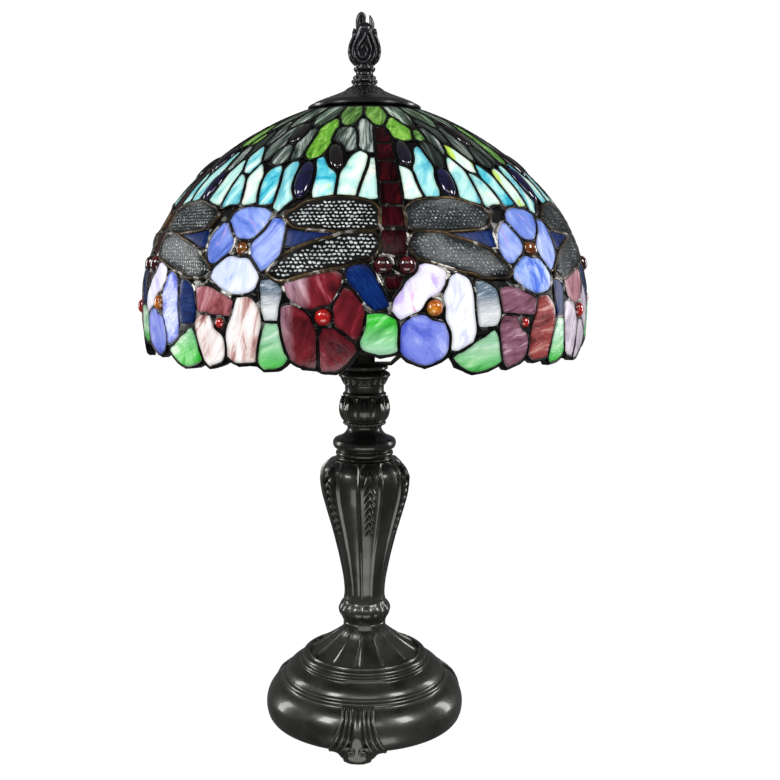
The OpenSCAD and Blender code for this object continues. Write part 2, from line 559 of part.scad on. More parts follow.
module socket_shell() {
    color([0.1, 0.09, 0.08]) difference() {
        turned_part([[15.3, cap_top], [17.6, cap_top], [17.6, 292], [16.6, 293], [16.6, shell_top - 2],
            [17.4, shell_top - 1], [17.4, shell_top], [15.8, shell_top], [15.8, 293], [15.3, 292]]);
        translate([0, 0, 300]) rotate([0, 90, switch_turn]) cylinder(h = 40, r = 3.4, $fn = 32);
    }
}
module socket_liner() {
    color([0.45, 0.36, 0.22]) difference() {
        turned_part([[14.4, 293], [15.7, 293], [15.7, shell_top - 1], [14.4, shell_top - 1]]);
        translate([0, 0, 300]) rotate([0, 90, switch_turn]) cylinder(h = 40, r = 3.4, $fn = 32);
    }
}
module socket_core() {
    color([0.2, 0.1, 0.06]) difference() {
        turned_part([[0, 284.4], [13, 284.4], [14.3, 286], [14.3, 297], [0, 297]]);
        translate([0, 0, 293]) rotate([0, 90, switch_turn]) translate([0, 0, 9])
            cylinder(h = 9, r = 2.1, $fn = 32);
    }
}
screw_top = 323;
module screw_shell() {
    color("gold") turned_part([[13.4, 297], [14.1, 297], [14.1, screw_top], [13.4, screw_top]]);
}
module centre_contact() {
    color("gold") translate([0, 0, 297]) cylinder(h = 1.8, r = 3, $fn = 32);
}
module switch_barrel() {
    color("gold") translate([0, 0, 300]) rotate([0, 90, switch_turn]) translate([0, 0, 16.2]) difference() {
        cylinder(h = 7, r = 3.3, $fn = 32);
        translate([0, 0, -1]) cylinder(h = 9, r = 1.65, $fn = 32);
    }
}
module switch_key() {
    color([0.1, 0.09, 0.08]) translate([0, 0, 300]) rotate([0, 90, switch_turn]) {
        translate([0, 0, 16.8]) cylinder(h = 9, r = 1.6, $fn = 32);
        translate([0, 0, 25]) intersection() {
            cylinder(h = 9, r = 6.5, $fn = 32);
            translate([-2, -6, 0]) cube([4, 12, 9]);
        }
    }
}
bulb_z0 = 299;
screw_end = 325;
bulb_mid = 362;
module bulb_contact() {
    color("silver") translate([0, 0, bulb_z0]) cylinder(h = 1.4, r = 4, $fn = 32);
}
module bulb_insulator() {
    color([0.05, 0.05, 0.05]) turned_part([[0, bulb_z0 + 1.4], [4.4, bulb_z0 + 1.4], [10.5, 305], [0, 305]]);
}
module bulb_base() {
    color("silver") turned_part(concat([[0, 305], [10.5, 305]],
        [for (i = [0:4]) each [[12.9, 306.6 + i * 3.2], [12.3, 308.2 + i * 3.2]]],
        [[12.9, 322.6], [12.9, screw_end], [0, screw_end]]));
}
module bulb_glass() {
    color([1, 1, 0.95]) turned_part(concat(
        [[0, screw_end], [12.4, screw_end], [12.6, 330], [14.5, 337], [18, 345]],
        [for (a = [-25:11.5:90]) [bulb_r * cos(a), bulb_mid + bulb_r * sin(a)]]));
}
// Harp: a bent wire, standing on the saddle's posts through two ferrules
leg_z = post_z + 7.2;
harp_path = [[harp_foot, leg_z], [harp_foot, 297], [29, 304], [33, 313], [38, 326], [42, 342], [43, 358],
    [41, 374], [37, 388], [31, 401], [23, 413], [14, 421.5], [6, 426], [0, harp_top]];
module wire(path, r, sides) {
    n = len(path);
    function along(i) = let (d = path[min(i + 1, n - 1)] - path[max(i - 1, 0)]) d / norm(d);
    rings = [for (i = [0:n - 1]) let (d = along(i)) [for (j = [0:sides - 1])
        let (a = j * 360 / sides)
        [path[i][0] + r * cos(a) * d[1], r * sin(a), path[i][1] - r * cos(a) * d[0]]]];
    lofted(rings, sides);
}
module harp_wire() {
    n = len(harp_path);
    whole = concat(harp_path, [for (i = [n - 2:-1:0]) [-harp_path[i][0], harp_path[i][1]]]);
    color([0.75, 0.6, 0.3]) difference() {
        wire(whole, wire_r, 12);
        translate([0, 0, harp_top - 6]) cylinder(h = 12, r = 5.6, $fn = 32);
    }
}
module harp_seat() {
    color([0.75, 0.6, 0.3]) difference() {
        translate([0, 0, harp_top - 2.4]) cylinder(h = 4.8, r = 5.6, $fn = 48);
        translate([0, 0, harp_top - 4]) cylinder(h = 9, r = 3.2, $fn = 48);
    }
}
module harp_ferrule() {
    color([0.75, 0.6, 0.3]) translate([harp_foot, 0, post_z + 2]) difference() {
        cylinder(h = 13, r = 3.9, $fn = 48);
        translate([0, 0, -1]) cylinder(h = 15, r = wire_r + fit_gap, $fn = 48);
    }
}
module harp_ferrule_right() { harp_ferrule(); }
module harp_ferrule_left() { mirror([1, 0, 0]) harp_ferrule(); }
stud_r = 3.1;
hub_z = harp_top + 2.7;
hub_h = 3;
module harp_stud() {
    color([0.75, 0.6, 0.3]) {
        translate([0, 0, harp_top - 5]) cylinder(h = 37, r = stud_r, $fn = 48);
        translate([0, 0, harp_top - 5.4]) cylinder(h = 2.7, r = 5, $fn = 48);
    }
}
ring_r = dome(web_top_s, web_t)[0] - fit_gap;
module shade_spider() {
    color([0.75, 0.6, 0.3]) difference() {
        union() {
            translate([0, 0, hub_z]) cylinder(h = hub_h, r = 9, $fn = 48);
            for (k = [0:2]) rotate(30 + k * 120) translate([7, -2.5, hub_z + 0.8])
                cube([ring_r - 10.4, 5, 2]);
        }
        translate([0, 0, hub_z - 1]) cylinder(h = hub_h + 2, r = stud_r + fit_gap, $fn = 48);
    }
}
ring_top = dome(web_top_s)[1];
module crown_ring() {
    color([0.75, 0.6, 0.3])
        turned_part([[ring_r - 3, hub_z + 0.6], [ring_r, hub_z + 0.6], [ring_r, ring_top],
            [ring_r - 3, ring_top]]);
}
// Pierced cap that covers the shade's crown
cap_seat = ring_top + 0.1;
piercings = 24;
module vase_cap() {
    color([0.16, 0.13, 0.1]) difference() {
        turned_part([[stud_r + fit_gap, 450.8], [10.4, 450.8], [11.6, 450.2], [14.1, 448.2], [18.9, 446],
            [28.3, 442.4], [34.1, 440], [36.6, 438.2], [37.4, 438.2], [38.5, 437.4], [38.6, 436.2],
            [37.8, cap_seat], [33.6, cap_seat], [33.6, 437.8], [27.6, 440.6], [18.2, 444.2],
            [13, 446.4], [stud_r + fit_gap, 448.4]]);
        for (row = [[15.6, 0], [20.6, 0.5], [25.6, 0]]) for (i = [0:piercings - 1])
            rotate((i + row[1]) * 360 / piercings) translate([row[0], 0, 430])
                cylinder(h = 24, r = row[0] / 15.6 * 1.1, $fn = 4);
    }
}
finial_z0 = 451;
module finial_collar() {
    color([0.16, 0.13, 0.1]) difference() {
        turned_part([[0, finial_z0], [8.6, finial_z0], [8.6, 452.4], [7.6, 453.6], [8.2, 455], [8.2, 456.6],
            [6.4, 458.2], [5.9, 460], [6.8, 461.6], [6.8, 463.6], [5.8, 464.8], [0, 465.4]]);
        translate([0, 0, finial_z0 - 1]) cylinder(h = 10, r = stud_r + fit_gap, $fn = 48);
    }
}
// Flame: three tapering tongues that curl around a teardrop loop
tongues = [
    [[0, 465, 3.4], [-6, 468.5, 3.2], [-8.6, 474, 2.8], [-7.6, 480, 2.6], [-3.4, 486, 2.4],
     [0.6, 491, 2.0], [1.8, 496.6, 0.6]],
    [[1, 465, 3.4], [6.6, 468, 3.2], [8.7, 473.5, 2.8], [7.2, 479, 2.6], [2.6, 484.5, 2.6],
     [-3, 490, 2.2], [-4.4, 495, 1.4], [-3.6, 500.4, 0.6]],
    [[0, 468, 3], [-3, 472, 2.6], [-2, 477, 2.4], [1.6, 480, 2.2]],
    [[8, 482, 1.8], [7.6, 486, 1.4], [8.4, 490.4, 0.6]],
    [[-8, 483, 1.8], [-7.2, 487, 1.4], [-7.8, 490.6, 0.6]]];
module finial_flame() {
    color([0.16, 0.13, 0.1]) difference() {
        union() {
            for (t = tongues) for (i = [0:len(t) - 2]) hull() for (q = [t[i], t[i + 1]])
                translate([q[0], 0, q[1]]) sphere(q[2], $fn = 8);
            translate([0, 0, 475]) rotate([90, 0, 0]) cylinder(h = 4, r = 8, center = true, $fn = 28);
        }
        turned_part([[0, 460], [7, 460], [7, 463.6], [5.9, 464.9], [0, 465.5]]);
    }
}

base_casting();
base_cone();
scroll_feet();
base_weight();
base_felt();
bottom_washer();
bottom_nut();
threaded_rod();
cord_grommet();
waist_ring();
stem_casting();
laurel_sprays();
neck_collar();
lotus_bulb();
neck_drum();
neck_plate();
harp_saddle();
socket_cap();
socket_shell();
socket_liner();
socket_core();
screw_shell();
centre_contact();
switch_barrel();
switch_key();
bulb_contact();
bulb_insulator();
bulb_base();
bulb_glass();
harp_wire();
harp_seat();
harp_ferrule_left();
harp_ferrule_right();
harp_stud();
shade_spider();
crown_ring();
shade_web();
crown_leaf_glass();
bright_leaf_glass();
dark_leaf_glass();
sky_glass();
oval_gems();
body_glass();
eye_gems();
wing_glass();
navy_glass();
blue_petal_glass();
red_petal_glass();
rose_petal_glass();
mauve_petal_glass();
pale_petal_glass();
lilac_petal_glass();
white_petal_glass();
periwinkle_glass();
green_border_glass();
clear_glass();
flower_gems();
vase_cap();
finial_collar();
finial_flame();
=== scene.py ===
"""Looks of a stained glass table lamp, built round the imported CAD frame.

The helpers work in millimetres; a mesh is scaled to metres when it is made.
"""

import math
import random

import bpy
import numpy as np
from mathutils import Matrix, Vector, geometry, noise


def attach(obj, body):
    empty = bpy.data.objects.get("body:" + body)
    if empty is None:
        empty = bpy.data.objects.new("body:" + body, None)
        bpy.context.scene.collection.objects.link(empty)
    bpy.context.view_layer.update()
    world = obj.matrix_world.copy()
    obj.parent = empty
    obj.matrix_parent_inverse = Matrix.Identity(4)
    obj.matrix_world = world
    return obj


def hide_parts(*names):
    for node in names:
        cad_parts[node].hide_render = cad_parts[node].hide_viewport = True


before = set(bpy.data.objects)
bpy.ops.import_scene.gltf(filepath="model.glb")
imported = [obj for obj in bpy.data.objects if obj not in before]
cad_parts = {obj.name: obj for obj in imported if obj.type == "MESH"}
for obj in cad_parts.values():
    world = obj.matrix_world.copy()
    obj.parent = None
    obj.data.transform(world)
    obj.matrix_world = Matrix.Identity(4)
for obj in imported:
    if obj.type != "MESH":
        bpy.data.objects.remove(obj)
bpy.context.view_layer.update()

MM = 0.001

# The shade's outer surface: two arcs, each with its centre's radius and height
LOW_CENTRE, LOW_ARC = np.array([32.4, 300.0]), 120.0
HIGH_CENTRE, HIGH_ARC = np.array([-31.95, 235.65]), 211.0
JOIN_TILT = math.radians(45)
CROWN_TILT = math.radians(20)
HIGH_LENGTH = HIGH_ARC * (JOIN_TILT - CROWN_TILT)
# No pane passes this radius
WIDEST = 151.2
# Repeats of the pattern, and the azimuth of the front dragonfly
REPEATS, SHADE_TURN = 5, 6.7
# How far down the shade the lowest petals of the blue flowers lie
LOW_PETAL = 152

LEAD_WIDTH = 1.9
GLASS_DEPTH = 2.8
GEM_DEPTH = 2.4
# How far the middle of a pane bulges
PILLOW = 0.3
# Size of the cells of a pane's mesh
CELL = 2.4
# A CAD outline with more corners than this is a gem's
PANE_CORNERS = 20
# How readily the panes of some nodes grow into the lead
STRETCH = {"oval_gems": 0.1, "navy_glass": 0.4, "wing_glass": 1.2, "crown_leaf_glass": 0.6}
# How far each eye moves out from where two eyes of the CAD size touch
EYE_SHIFT = 1.9
# Radii of the round gems: those that differ, by azimuth from the dragonfly, and the rest
ROUND_SIZE = {"eye_gems": {-2: 5.3, 2: 5.3}, "flower_gems": {-15: 4.9, -16: 4.9, 8: 4.9, 32: 3.1, 36: 3.1}}
JEWEL_RADIUS = 4.1

# Radius of the rod's hole through the stand
BORE = 5.3
# Flutes round the base and the stem, and the azimuth of one ridge
FLUTES, FLUTE_TURN = 12, -7.5
# The base's round skirt: radius and height of its centre, and its half width and half height
SKIRT_CENTRE, SKIRT_HALF = (53.5, 15), (18, 18.6)


# ---------- shapes ----------


class Shape:
    """Points, faces and point attributes of one piece, collected from several parts."""

    def __init__(self):
        self.points, self.faces, self.marks = [], [], {}
        self.count = 0

    def add(self, points, faces, **marks):
        points = np.asarray(points, float).reshape(-1, 3)
        self.points.append(points)
        self.faces += [tuple(i + self.count for i in face) for face in faces]
        for name, values in marks.items():
            self.marks.setdefault(name, []).append(np.asarray(values, float))
        self.count += len(points)

    def rings(self, rings, loop=False):
        """Skin over closed rings of equal length: a tube with flat ends, or a closed loop."""
        rings = np.asarray(rings, float)
        rows, columns = rings.shape[:2]
        faces = [
            (a * columns + b, a * columns + (b + 1) % columns,
             (a + 1) % rows * columns + (b + 1) % columns, (a + 1) % rows * columns + b)
            for a in range(rows if loop else rows - 1) for b in range(columns)]
        if not loop:
            faces.append(tuple(reversed(range(columns))))
            faces.append(tuple((rows - 1) * columns + b for b in range(columns)))
        self.add(rings, faces)

    def make(self, name, material, body, slot, stands_for=(), crease=40):
        mesh = bpy.data.meshes.new(name)
        mesh.from_pydata((np.concatenate(self.points) * MM).tolist(), [], self.faces)
        mesh.update()
        for mark, parts in self.marks.items():
            values = np.concatenate(parts)
            kind = "FLOAT_VECTOR" if values.ndim > 1 else "FLOAT"
            field = mesh.attributes.new(mark, kind, "POINT")
            field.data.foreach_set("vector" if values.ndim > 1 else "value", values.ravel())
        mesh.polygons.foreach_set("use_smooth", [True] * len(mesh.polygons))
        mesh.set_sharp_from_angle(angle=math.radians(crease))
        mesh.materials.append(material)
        piece = bpy.data.objects.new(name, mesh)
        bpy.context.scene.collection.objects.link(piece)
        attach(piece, body)
        if stands_for:
            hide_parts(*stands_for)
        return piece


def spline(points, step, closed=False, corner=180):
    """Smooth curve through points, with a point about every step.

    Turns sharper than corner degrees stay sharp.
    """
    p = np.asarray(points, float)
    n = len(p)
    last = n if closed else n - 1
    curve = []

    def tangent(i, length, direction):
        if not closed and i in (0, n - 1):
            return direction
        before, after = p[i] - p[i - 1], p[(i + 1) % n] - p[i]
        lb, la = np.linalg.norm(before), np.linalg.norm(after)
        if before @ after < math.cos(math.radians(corner)) * lb * la:
            return direction
        return (before + after) / (lb + la) * length

    for i in range(last):
        a, b = p[i], p[(i + 1) % n]
        length = np.linalg.norm(b - a)
        ta, tb = tangent(i, length, b - a), tangent((i + 1) % n, length, b - a)
        count = max(1, round(length / step))
        for t in np.arange(count) / count:
            curve.append((2 * t**3 - 3 * t**2 + 1) * a + (t**3 - 2 * t**2 + t) * ta
                         + (3 * t**2 - 2 * t**3) * b + (t**3 - t**2) * tb)
    if not closed:
        curve.append(p[-1])
    return np.array(curve)


def polar(angle, r, z):
    """Point at an azimuth in degrees from straight ahead, -Y."""
    a = math.radians(angle)
    return np.array([r * math.sin(a), -r * math.cos(a), z])


def plain(angle, r, z):
    return r, z


def lathe(shape, outside, inside, relief, segments):
    """Closed turned part; relief moves a point of the outside, as radius and height."""
    angles = np.arange(segments) * 360 / segments
    rings = [[polar(a, *relief(a, r, z)) for a in angles] for r, z in outside]
    rings += [[polar(a, r, z) for a in angles] for r, z in inside]
    shape.rings(rings[::-1], loop=True)


def tube(shape, path, radii, sides=8, flat=1.0, lie=None, loop=False):
    """Round or flattened tube along a path; lie holds the directions that flat squeezes."""
    path = np.asarray(path, float)
    n = len(path)
    rings, up = [], None
    for i in range(n):
        if loop:
            ahead = path[(i + 1) % n] - path[i - 1]
        else:
            ahead = path[min(i + 1, n - 1)] - path[max(i - 1, 0)]
        ahead = ahead / (np.linalg.norm(ahead) + 1e-9)
        if lie is not None:
            up = lie[i]
        elif up is None:
            up = np.cross(ahead, [0.3, 0.9, 0.2])
        side = np.cross(ahead, up)
        side /= np.linalg.norm(side) + 1e-9
        up = np.cross(side, ahead)
        rings.append([path[i] + radii[i] * (math.cos(w) * side + flat * math.sin(w) * up)
                      for w in np.arange(sides) * 2 * math.pi / sides])
    shape.rings(rings, loop)


def around(count):
    """Points of a circle of radius 1."""
    angles = np.arange(count) * 2 * math.pi / count
    return np.column_stack([np.cos(angles), np.sin(angles)])


def smooth_step(x, low, high):
    """0 below low and 1 above high, with a smooth rise between."""
    t = np.clip((x - low) / (high - low), 0, 1)
    return t * t * (3 - 2 * t)


# ---------- the shade's surface and its panes ----------


def dome(point):
    """Normal of the shade at a point, the point's height over it, and its arc length from the crown."""
    r = math.hypot(point[0], point[1])
    flat = np.array([r, point[2]])
    low = math.atan2(r - LOW_CENTRE[0], point[2] - LOW_CENTRE[1]) > JOIN_TILT
    centre, arc = (LOW_CENTRE, LOW_ARC) if low else (HIGH_CENTRE, HIGH_ARC)
    away = flat - centre
    reach = np.linalg.norm(away)
    away /= reach
    tilt = math.atan2(away[0], away[1])
    along = HIGH_LENGTH + (tilt - JOIN_TILT) * LOW_ARC if low else (tilt - CROWN_TILT) * HIGH_ARC
    out = np.array([away[0] * point[0] / r, away[0] * point[1] / r, away[1]])
    return out, reach - arc, along


def settle(point, height):
    """The point moved to a height over the shade's outer surface, never past the widest radius."""
    out, now, _ = dome(point)
    moved = point + (height - now) * out
    r = math.hypot(moved[0], moved[1])
    if r > WIDEST:
        moved[:2] *= WIDEST / r
    return moved


def sides_of(triangle):
    a, b, c = triangle
    return (a, b), (b, c), (c, a)


class Pane:
    """One pane of a CAD glass node: its outline in its own plane, and where it is in the pattern."""

    def __init__(self, points, triangles):
        corners = points[triangles]
        areas = np.cross(corners[:, 1] - corners[:, 0], corners[:, 2] - corners[:, 0])
        sizes = np.linalg.norm(areas, axis=1)
        self.out = areas[sizes.argmax()] / sizes.max()
        middle = points[np.unique(triangles)].mean(0)
        if self.out @ dome(middle)[0] < 0:
            self.out = -self.out
        front = triangles[(areas @ self.out) > 0.99 * sizes]
        ahead = dict.fromkeys(pair for triangle in front for pair in sides_of(triangle))
        links = {a: b for a, b in ahead if (b, a) not in ahead}
        start = min(links)
        loop, at = [start], links[start]
        while at != start and len(loop) <= len(links):
            loop.append(at)
            at = links[at]
        corners = points[loop]
        self.centre = corners.mean(0)
        self.face_along(self.out)
        self.outline = np.stack([(corners - self.centre) @ self.right,
                                 (corners - self.centre) @ self.up], 1)
        self.azimuth = math.degrees(math.atan2(self.centre[0], -self.centre[1]))
        self.along = dome(self.centre)[2]
        # Azimuth from the nearest dragonfly
        self.across = (self.azimuth - SHADE_TURN + 180 / REPEATS) % (360 / REPEATS) - 180 / REPEATS
        self.chance = random.Random(round(self.azimuth * 7) + 1000 * round(self.along))
        self.round = len(self.outline) > PANE_CORNERS

    def face_along(self, out):
        self.out = out
        self.right = np.cross([0, 0, 1.0], out)
        self.right /= np.linalg.norm(self.right)
        self.up = np.cross(out, self.right)

    def turn_round(self, radius, shift):
        """Make a round gem of it, moved sideways by shift and set into the shade's surface."""
        self.face_along(dome(self.centre)[0])
        self.centre = settle(self.centre + shift * self.right, -1.0)
        self.outline = radius * around(40)

    def place(self, x, y, z):
        return self.centre + x * self.right + y * self.up + z * self.out

    def face(self, points, height=0.2):
        """Heights that lie on the dome at the pane's edge and flatten towards its middle."""
        def over(some):
            return np.array([height - dome(self.place(x, y, 0))[1] for x, y in some])

        hold = np.exp(-reach(points, self.outline) / 2.5)
        return hold * over(points) + (1 - hold) * over(self.outline).mean()

    def outward(self):
        """Unit directions in the pane's plane, out from each point of its outline."""
        ahead = np.roll(self.outline, -1, 0) - np.roll(self.outline, 1, 0)
        ahead /= np.linalg.norm(ahead, axis=1)[:, None] + 1e-9
        aside = np.stack([ahead[:, 1], -ahead[:, 0]], 1)
        turned = np.roll(self.outline, -1, 0)
        area = (self.outline[:, 0] * turned[:, 1] - self.outline[:, 1] * turned[:, 0]).sum()
        return aside if area > 0 else -aside


def panes(node):
    """The separate solids of a CAD glass node, as panes."""
    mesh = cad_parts[node].data
    mesh.calc_loop_triangles()
    places = np.array([v.co for v in mesh.vertices]) / MM
    _, first, same = np.unique(places.round(2), axis=0, return_index=True, return_inverse=True)
    points = places[first]
    triangles = same.ravel()[np.array([t.vertices for t in mesh.loop_triangles])]
    triangles = triangles[(triangles[:, 0] != triangles[:, 1]) & (triangles[:, 1] != triangles[:, 2])
                          & (triangles[:, 0] != triangles[:, 2])]
    group = np.arange(len(points))
    while True:
        lowest = group[triangles].min(1)
        before = group.copy()
        for k in range(3):
            np.minimum.at(group, triangles[:, k], lowest)
        if (before == group).all():
            break
    return [Pane(points, triangles[group[triangles[:, 0]] == g])
            for g in np.unique(group[triangles[:, 0]])]


def reach(points, outline):
    """How far points are from the nearest corner of an outline."""
    return np.linalg.norm(points[:, None] - outline[None], axis=2).min(1)


def inside(points, outline):
    """Which points lie inside a closed outline."""
    x, y = points[:, 0, None], points[:, 1, None]
    x0, y0 = outline[:, 0], outline[:, 1]
    x1, y1 = np.roll(x0, -1), np.roll(y0, -1)
    crossed = ((y0 > y) != (y1 > y)) & (x < (x1 - x0) * (y - y0) / (y1 - y0 + 1e-12) + x0)
    return crossed.sum(1) % 2 == 1


def slab(shape, outline, inner, front, back, place, holes=(), **marks):
    """Closed plate with holes, and points inner within; front and back give the faces' heights."""
    loops = [outline, *holes]
    points = np.concatenate([*loops, inner]) if len(inner) else np.concatenate(loops)
    edges, first = [], 0
    for loop in loops:
        edges += [(first + i, first + (i + 1) % len(loop)) for i in range(len(loop))]
        first += len(loop)
    flat, _, faces, *_ = geometry.delaunay_2d_cdt(
        [Vector(p) for p in points], edges, [], 0, 1e-5)
    flat = np.array(flat)
    faces = np.array(faces)
    middles = flat[faces].mean(1)
    keep = inside(middles, outline)
    for hole in holes:
        keep &= ~inside(middles, hole)
    faces = faces[keep]
    n = len(flat)
    top = [place(x, y, z) for (x, y), z in zip(flat, front(flat))]
    bottom = [place(x, y, z) for (x, y), z in zip(flat, back(flat))]
    seen = {pair for face in faces.tolist() for pair in sides_of(face)}
    rim = [(a, b) for a, b in seen if (b, a) not in seen]
    solid = [tuple(f) for f in faces.tolist()] + [(c + n, b + n, a + n) for a, b, c in faces.tolist()]
    solid += [(b, a, a + n, b + n) for a, b in rim]
    used = sorted({i for f in solid for i in f})
    number = {i: k for k, i in enumerate(used)}
    both = np.concatenate([top, bottom])[used]
    twice = np.concatenate([flat, flat])[used]
    shape.add(both, [tuple(number[i] for i in f) for f in solid],
              **{name: [value(p) for p in twice] for name, value in marks.items()})


def hexagons(outline, step, margin):
    """Points of a hexagonal grid that lie inside an outline, margin away from it."""
    low, high = outline.min(0), outline.max(0)
    grid = [(x + (row % 2) * step / 2, y)
            for row, y in enumerate(np.arange(low[1], high[1], step * 0.87))
            for x in np.arange(low[0] - step, high[0] + step, step)]
    grid = np.array(grid).reshape(-1, 2)
    return grid[inside(grid, outline) & (reach(grid, outline) > margin)]


def read_pattern():
    """Every pane and gem, with smooth outlines that leave one width of lead between neighbours."""
    found = {node: panes(node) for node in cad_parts
             if node.endswith("_gems") or node.endswith("_glass") and node != "bulb_glass"}
    for node, some in found.items():
        for pane in some:
            pane.stretch = STRETCH.get(node, 1.0)
            if node in ROUND_SIZE:
                shift = EYE_SHIFT * np.sign(pane.across) if node == "eye_gems" else 0
                pane.turn_round(ROUND_SIZE[node].get(round(pane.across), JEWEL_RADIUS), shift)
            else:
                corner = 180 if node == "oval_gems" else 50
                pane.outline = spline(pane.outline, 1.4, closed=True, corner=corner)
    everything = [pane for some in found.values() for pane in some]
    for limit in (1.1, 0.8):
        grow(everything, limit)
    return found


def grow(everything, limit):
    """Push outlines towards their neighbours, by at most limit, until one lead's width is left."""
    near_enough, facing_reach, shrink, free_growth = 40, 7.5, -0.4, 0.12
    edges = [np.array([settle(pane.place(x, y, 0), 0) for x, y in pane.outline]) for pane in everything]
    points = np.concatenate(edges)
    owner = np.repeat(np.arange(len(everything)), [len(edge) for edge in edges])
    grown = []
    for number, (pane, edge) in enumerate(zip(everything, edges)):
        away = pane.outward()
        ahead = away @ np.array([pane.right, pane.up])
        close = (owner != number) & (np.linalg.norm(points - pane.centre, axis=1) < near_enough)
        across = points[close][None] - edge[:, None]
        far = np.linalg.norm(across, axis=2)
        facing = (np.einsum("ijk,ik->ij", across, ahead) > 0.3 * far) & (far < facing_reach)
        gap = np.where(facing, far, np.inf).min(1)
        growth = np.clip((gap - LEAD_WIDTH) / 2, shrink, limit * pane.stretch)
        growth = np.where(np.isinf(gap), free_growth, growth)
        wide = np.concatenate([growth[-2:], growth, growth[:2]])
        grown.append(pane.outline + np.convolve(wide, np.ones(5) / 5, "valid")[:, None] * away)
    for pane, outline in zip(everything, grown):
        if not pane.round:
            pane.outline = outline


def ask(rule, pane):
    """A rule is one value for all panes, or a function of the pane."""
    return rule(pane) if callable(rule) else rule


def glaze(node, slot, streak, tone=0.0, ripple=0.1, wave=9.0, fade=(0, 0), only=None, name=None, paint=None):
    """Pillowed, rippled panes in place of a CAD glass node, and the solder beads round them."""
    glass = Shape()
    for pane in filter(only, pattern[node]):
        seed = pane.chance.uniform(0, 90)
        lean = math.radians(ask(streak, pane) + pane.chance.uniform(-9, 9))
        shade = ask(tone, pane)

        def front(points):
            swell = [noise.noise(Vector((x / wave + seed, y / wave, seed))) for x, y in points]
            bulge = PILLOW + ripple * np.array(swell)
            return pane.face(points) + (1 - np.exp(-reach(points, pane.outline) / 1.6)) * bulge

        def flow(p):
            return (p[0] * math.cos(lean) + p[1] * math.sin(lean) + 7 * seed,
                    p[1] * math.cos(lean) - p[0] * math.sin(lean) + 3 * seed, seed)

        slab(glass, pane.outline, hexagons(pane.outline, CELL, 0.9), front,
             lambda points: pane.face(points) - GLASS_DEPTH, pane.place, flow=flow,
             tone=lambda p: shade + np.array(fade) @ p, rim=lambda p: float(reach(p[None], pane.outline)[0]))
        bead_round(pane, *((wing_edges, 1.5) if node == "wing_glass" else (beads, 1.0)))
    name = name or node.replace("_glass", "") + "_panes"
    glass.make(name, paints[paint or slot], "shade", slot, [node], crease=50)


def bead_round(pane, bead, radius):
    """Half round solder bead round a pane's edge."""
    line = pane.outline + 0.8 * radius * pane.outward()
    wander = [noise.noise(Vector((x * 0.6, y * 0.6, pane.azimuth))) for x, y in line]
    path = [settle(pane.place(x, y, 1.0), 0.12 * w - 0.1) for (x, y), w in zip(line, wander)]
    thick = [radius * (1 + 0.16 * noise.noise(Vector((x * 0.45 + 40, y * 0.45, pane.along))))
             for x, y in line]
    tube(bead, path, thick, sides=7, flat=0.9, lie=[dome(p)[0] for p in path], loop=True)


def gems(node, slot, rise, tone=0.0, facets=0, rings=8):
    """Domed cabochons or pressed jewels in place of a CAD gem node."""
    shape = Shape()
    for gem in pattern[node]:
        low = 0.4 if gem.round else float(gem.face(gem.outline[:1], 0.3)[0])
        height = rise * np.linalg.norm(gem.outline, axis=1).min()
        stack = [[gem.place(x, y, low - GEM_DEPTH) for x, y in gem.outline]]
        for t in np.linspace(0, 1, rings):
            shrink = math.cos(t * math.pi / 2 * 0.97)
            ring = []
            for x, y in gem.outline:
                cut = 0.07 * facets * abs(math.sin(5 * math.atan2(y, x))) * math.sin(math.pi * t)
                size = shrink * (1 - cut)
                ring.append(gem.place(x * size, y * size, low + height * math.sin(t * math.pi / 2)))
            stack.append(ring)
        shape.rings(stack)
        count = (rings + 1) * len(gem.outline)
        # Painted shade and light: rim rises from a gem's edge to its top, so its edge is darkened and its top
        # left light; gems above the border keep rim 0 and are darkened evenly
        rims = np.repeat([0, *np.linspace(0.3, 2.4, rings)], len(gem.outline))
        flow = np.column_stack([np.tile(gem.outline, (rings + 1, 1)), np.full(count, gem.azimuth)])
        for mark, values in (("flow", flow), ("tone", np.full(count, ask(tone, gem))),
                             ("rim", rims * (gem.along > LOW_PETAL))):
            shape.marks.setdefault(mark, []).append(values)
        bead_round(gem, beads, radius=0.8)
    shape.make(node, paints[slot], "shade", slot, [node], crease=28 if facets else 60)


# ---------- materials ----------


def ink(code):
    """Linear colour from an sRGB hex code."""
    parts = [int(code[i:i + 2], 16) / 255 for i in (0, 2, 4)]
    return tuple(c / 12.92 if c <= 0.04045 else ((c + 0.055) / 1.055) ** 2.4 for c in parts) + (1.0,)


paints = {}


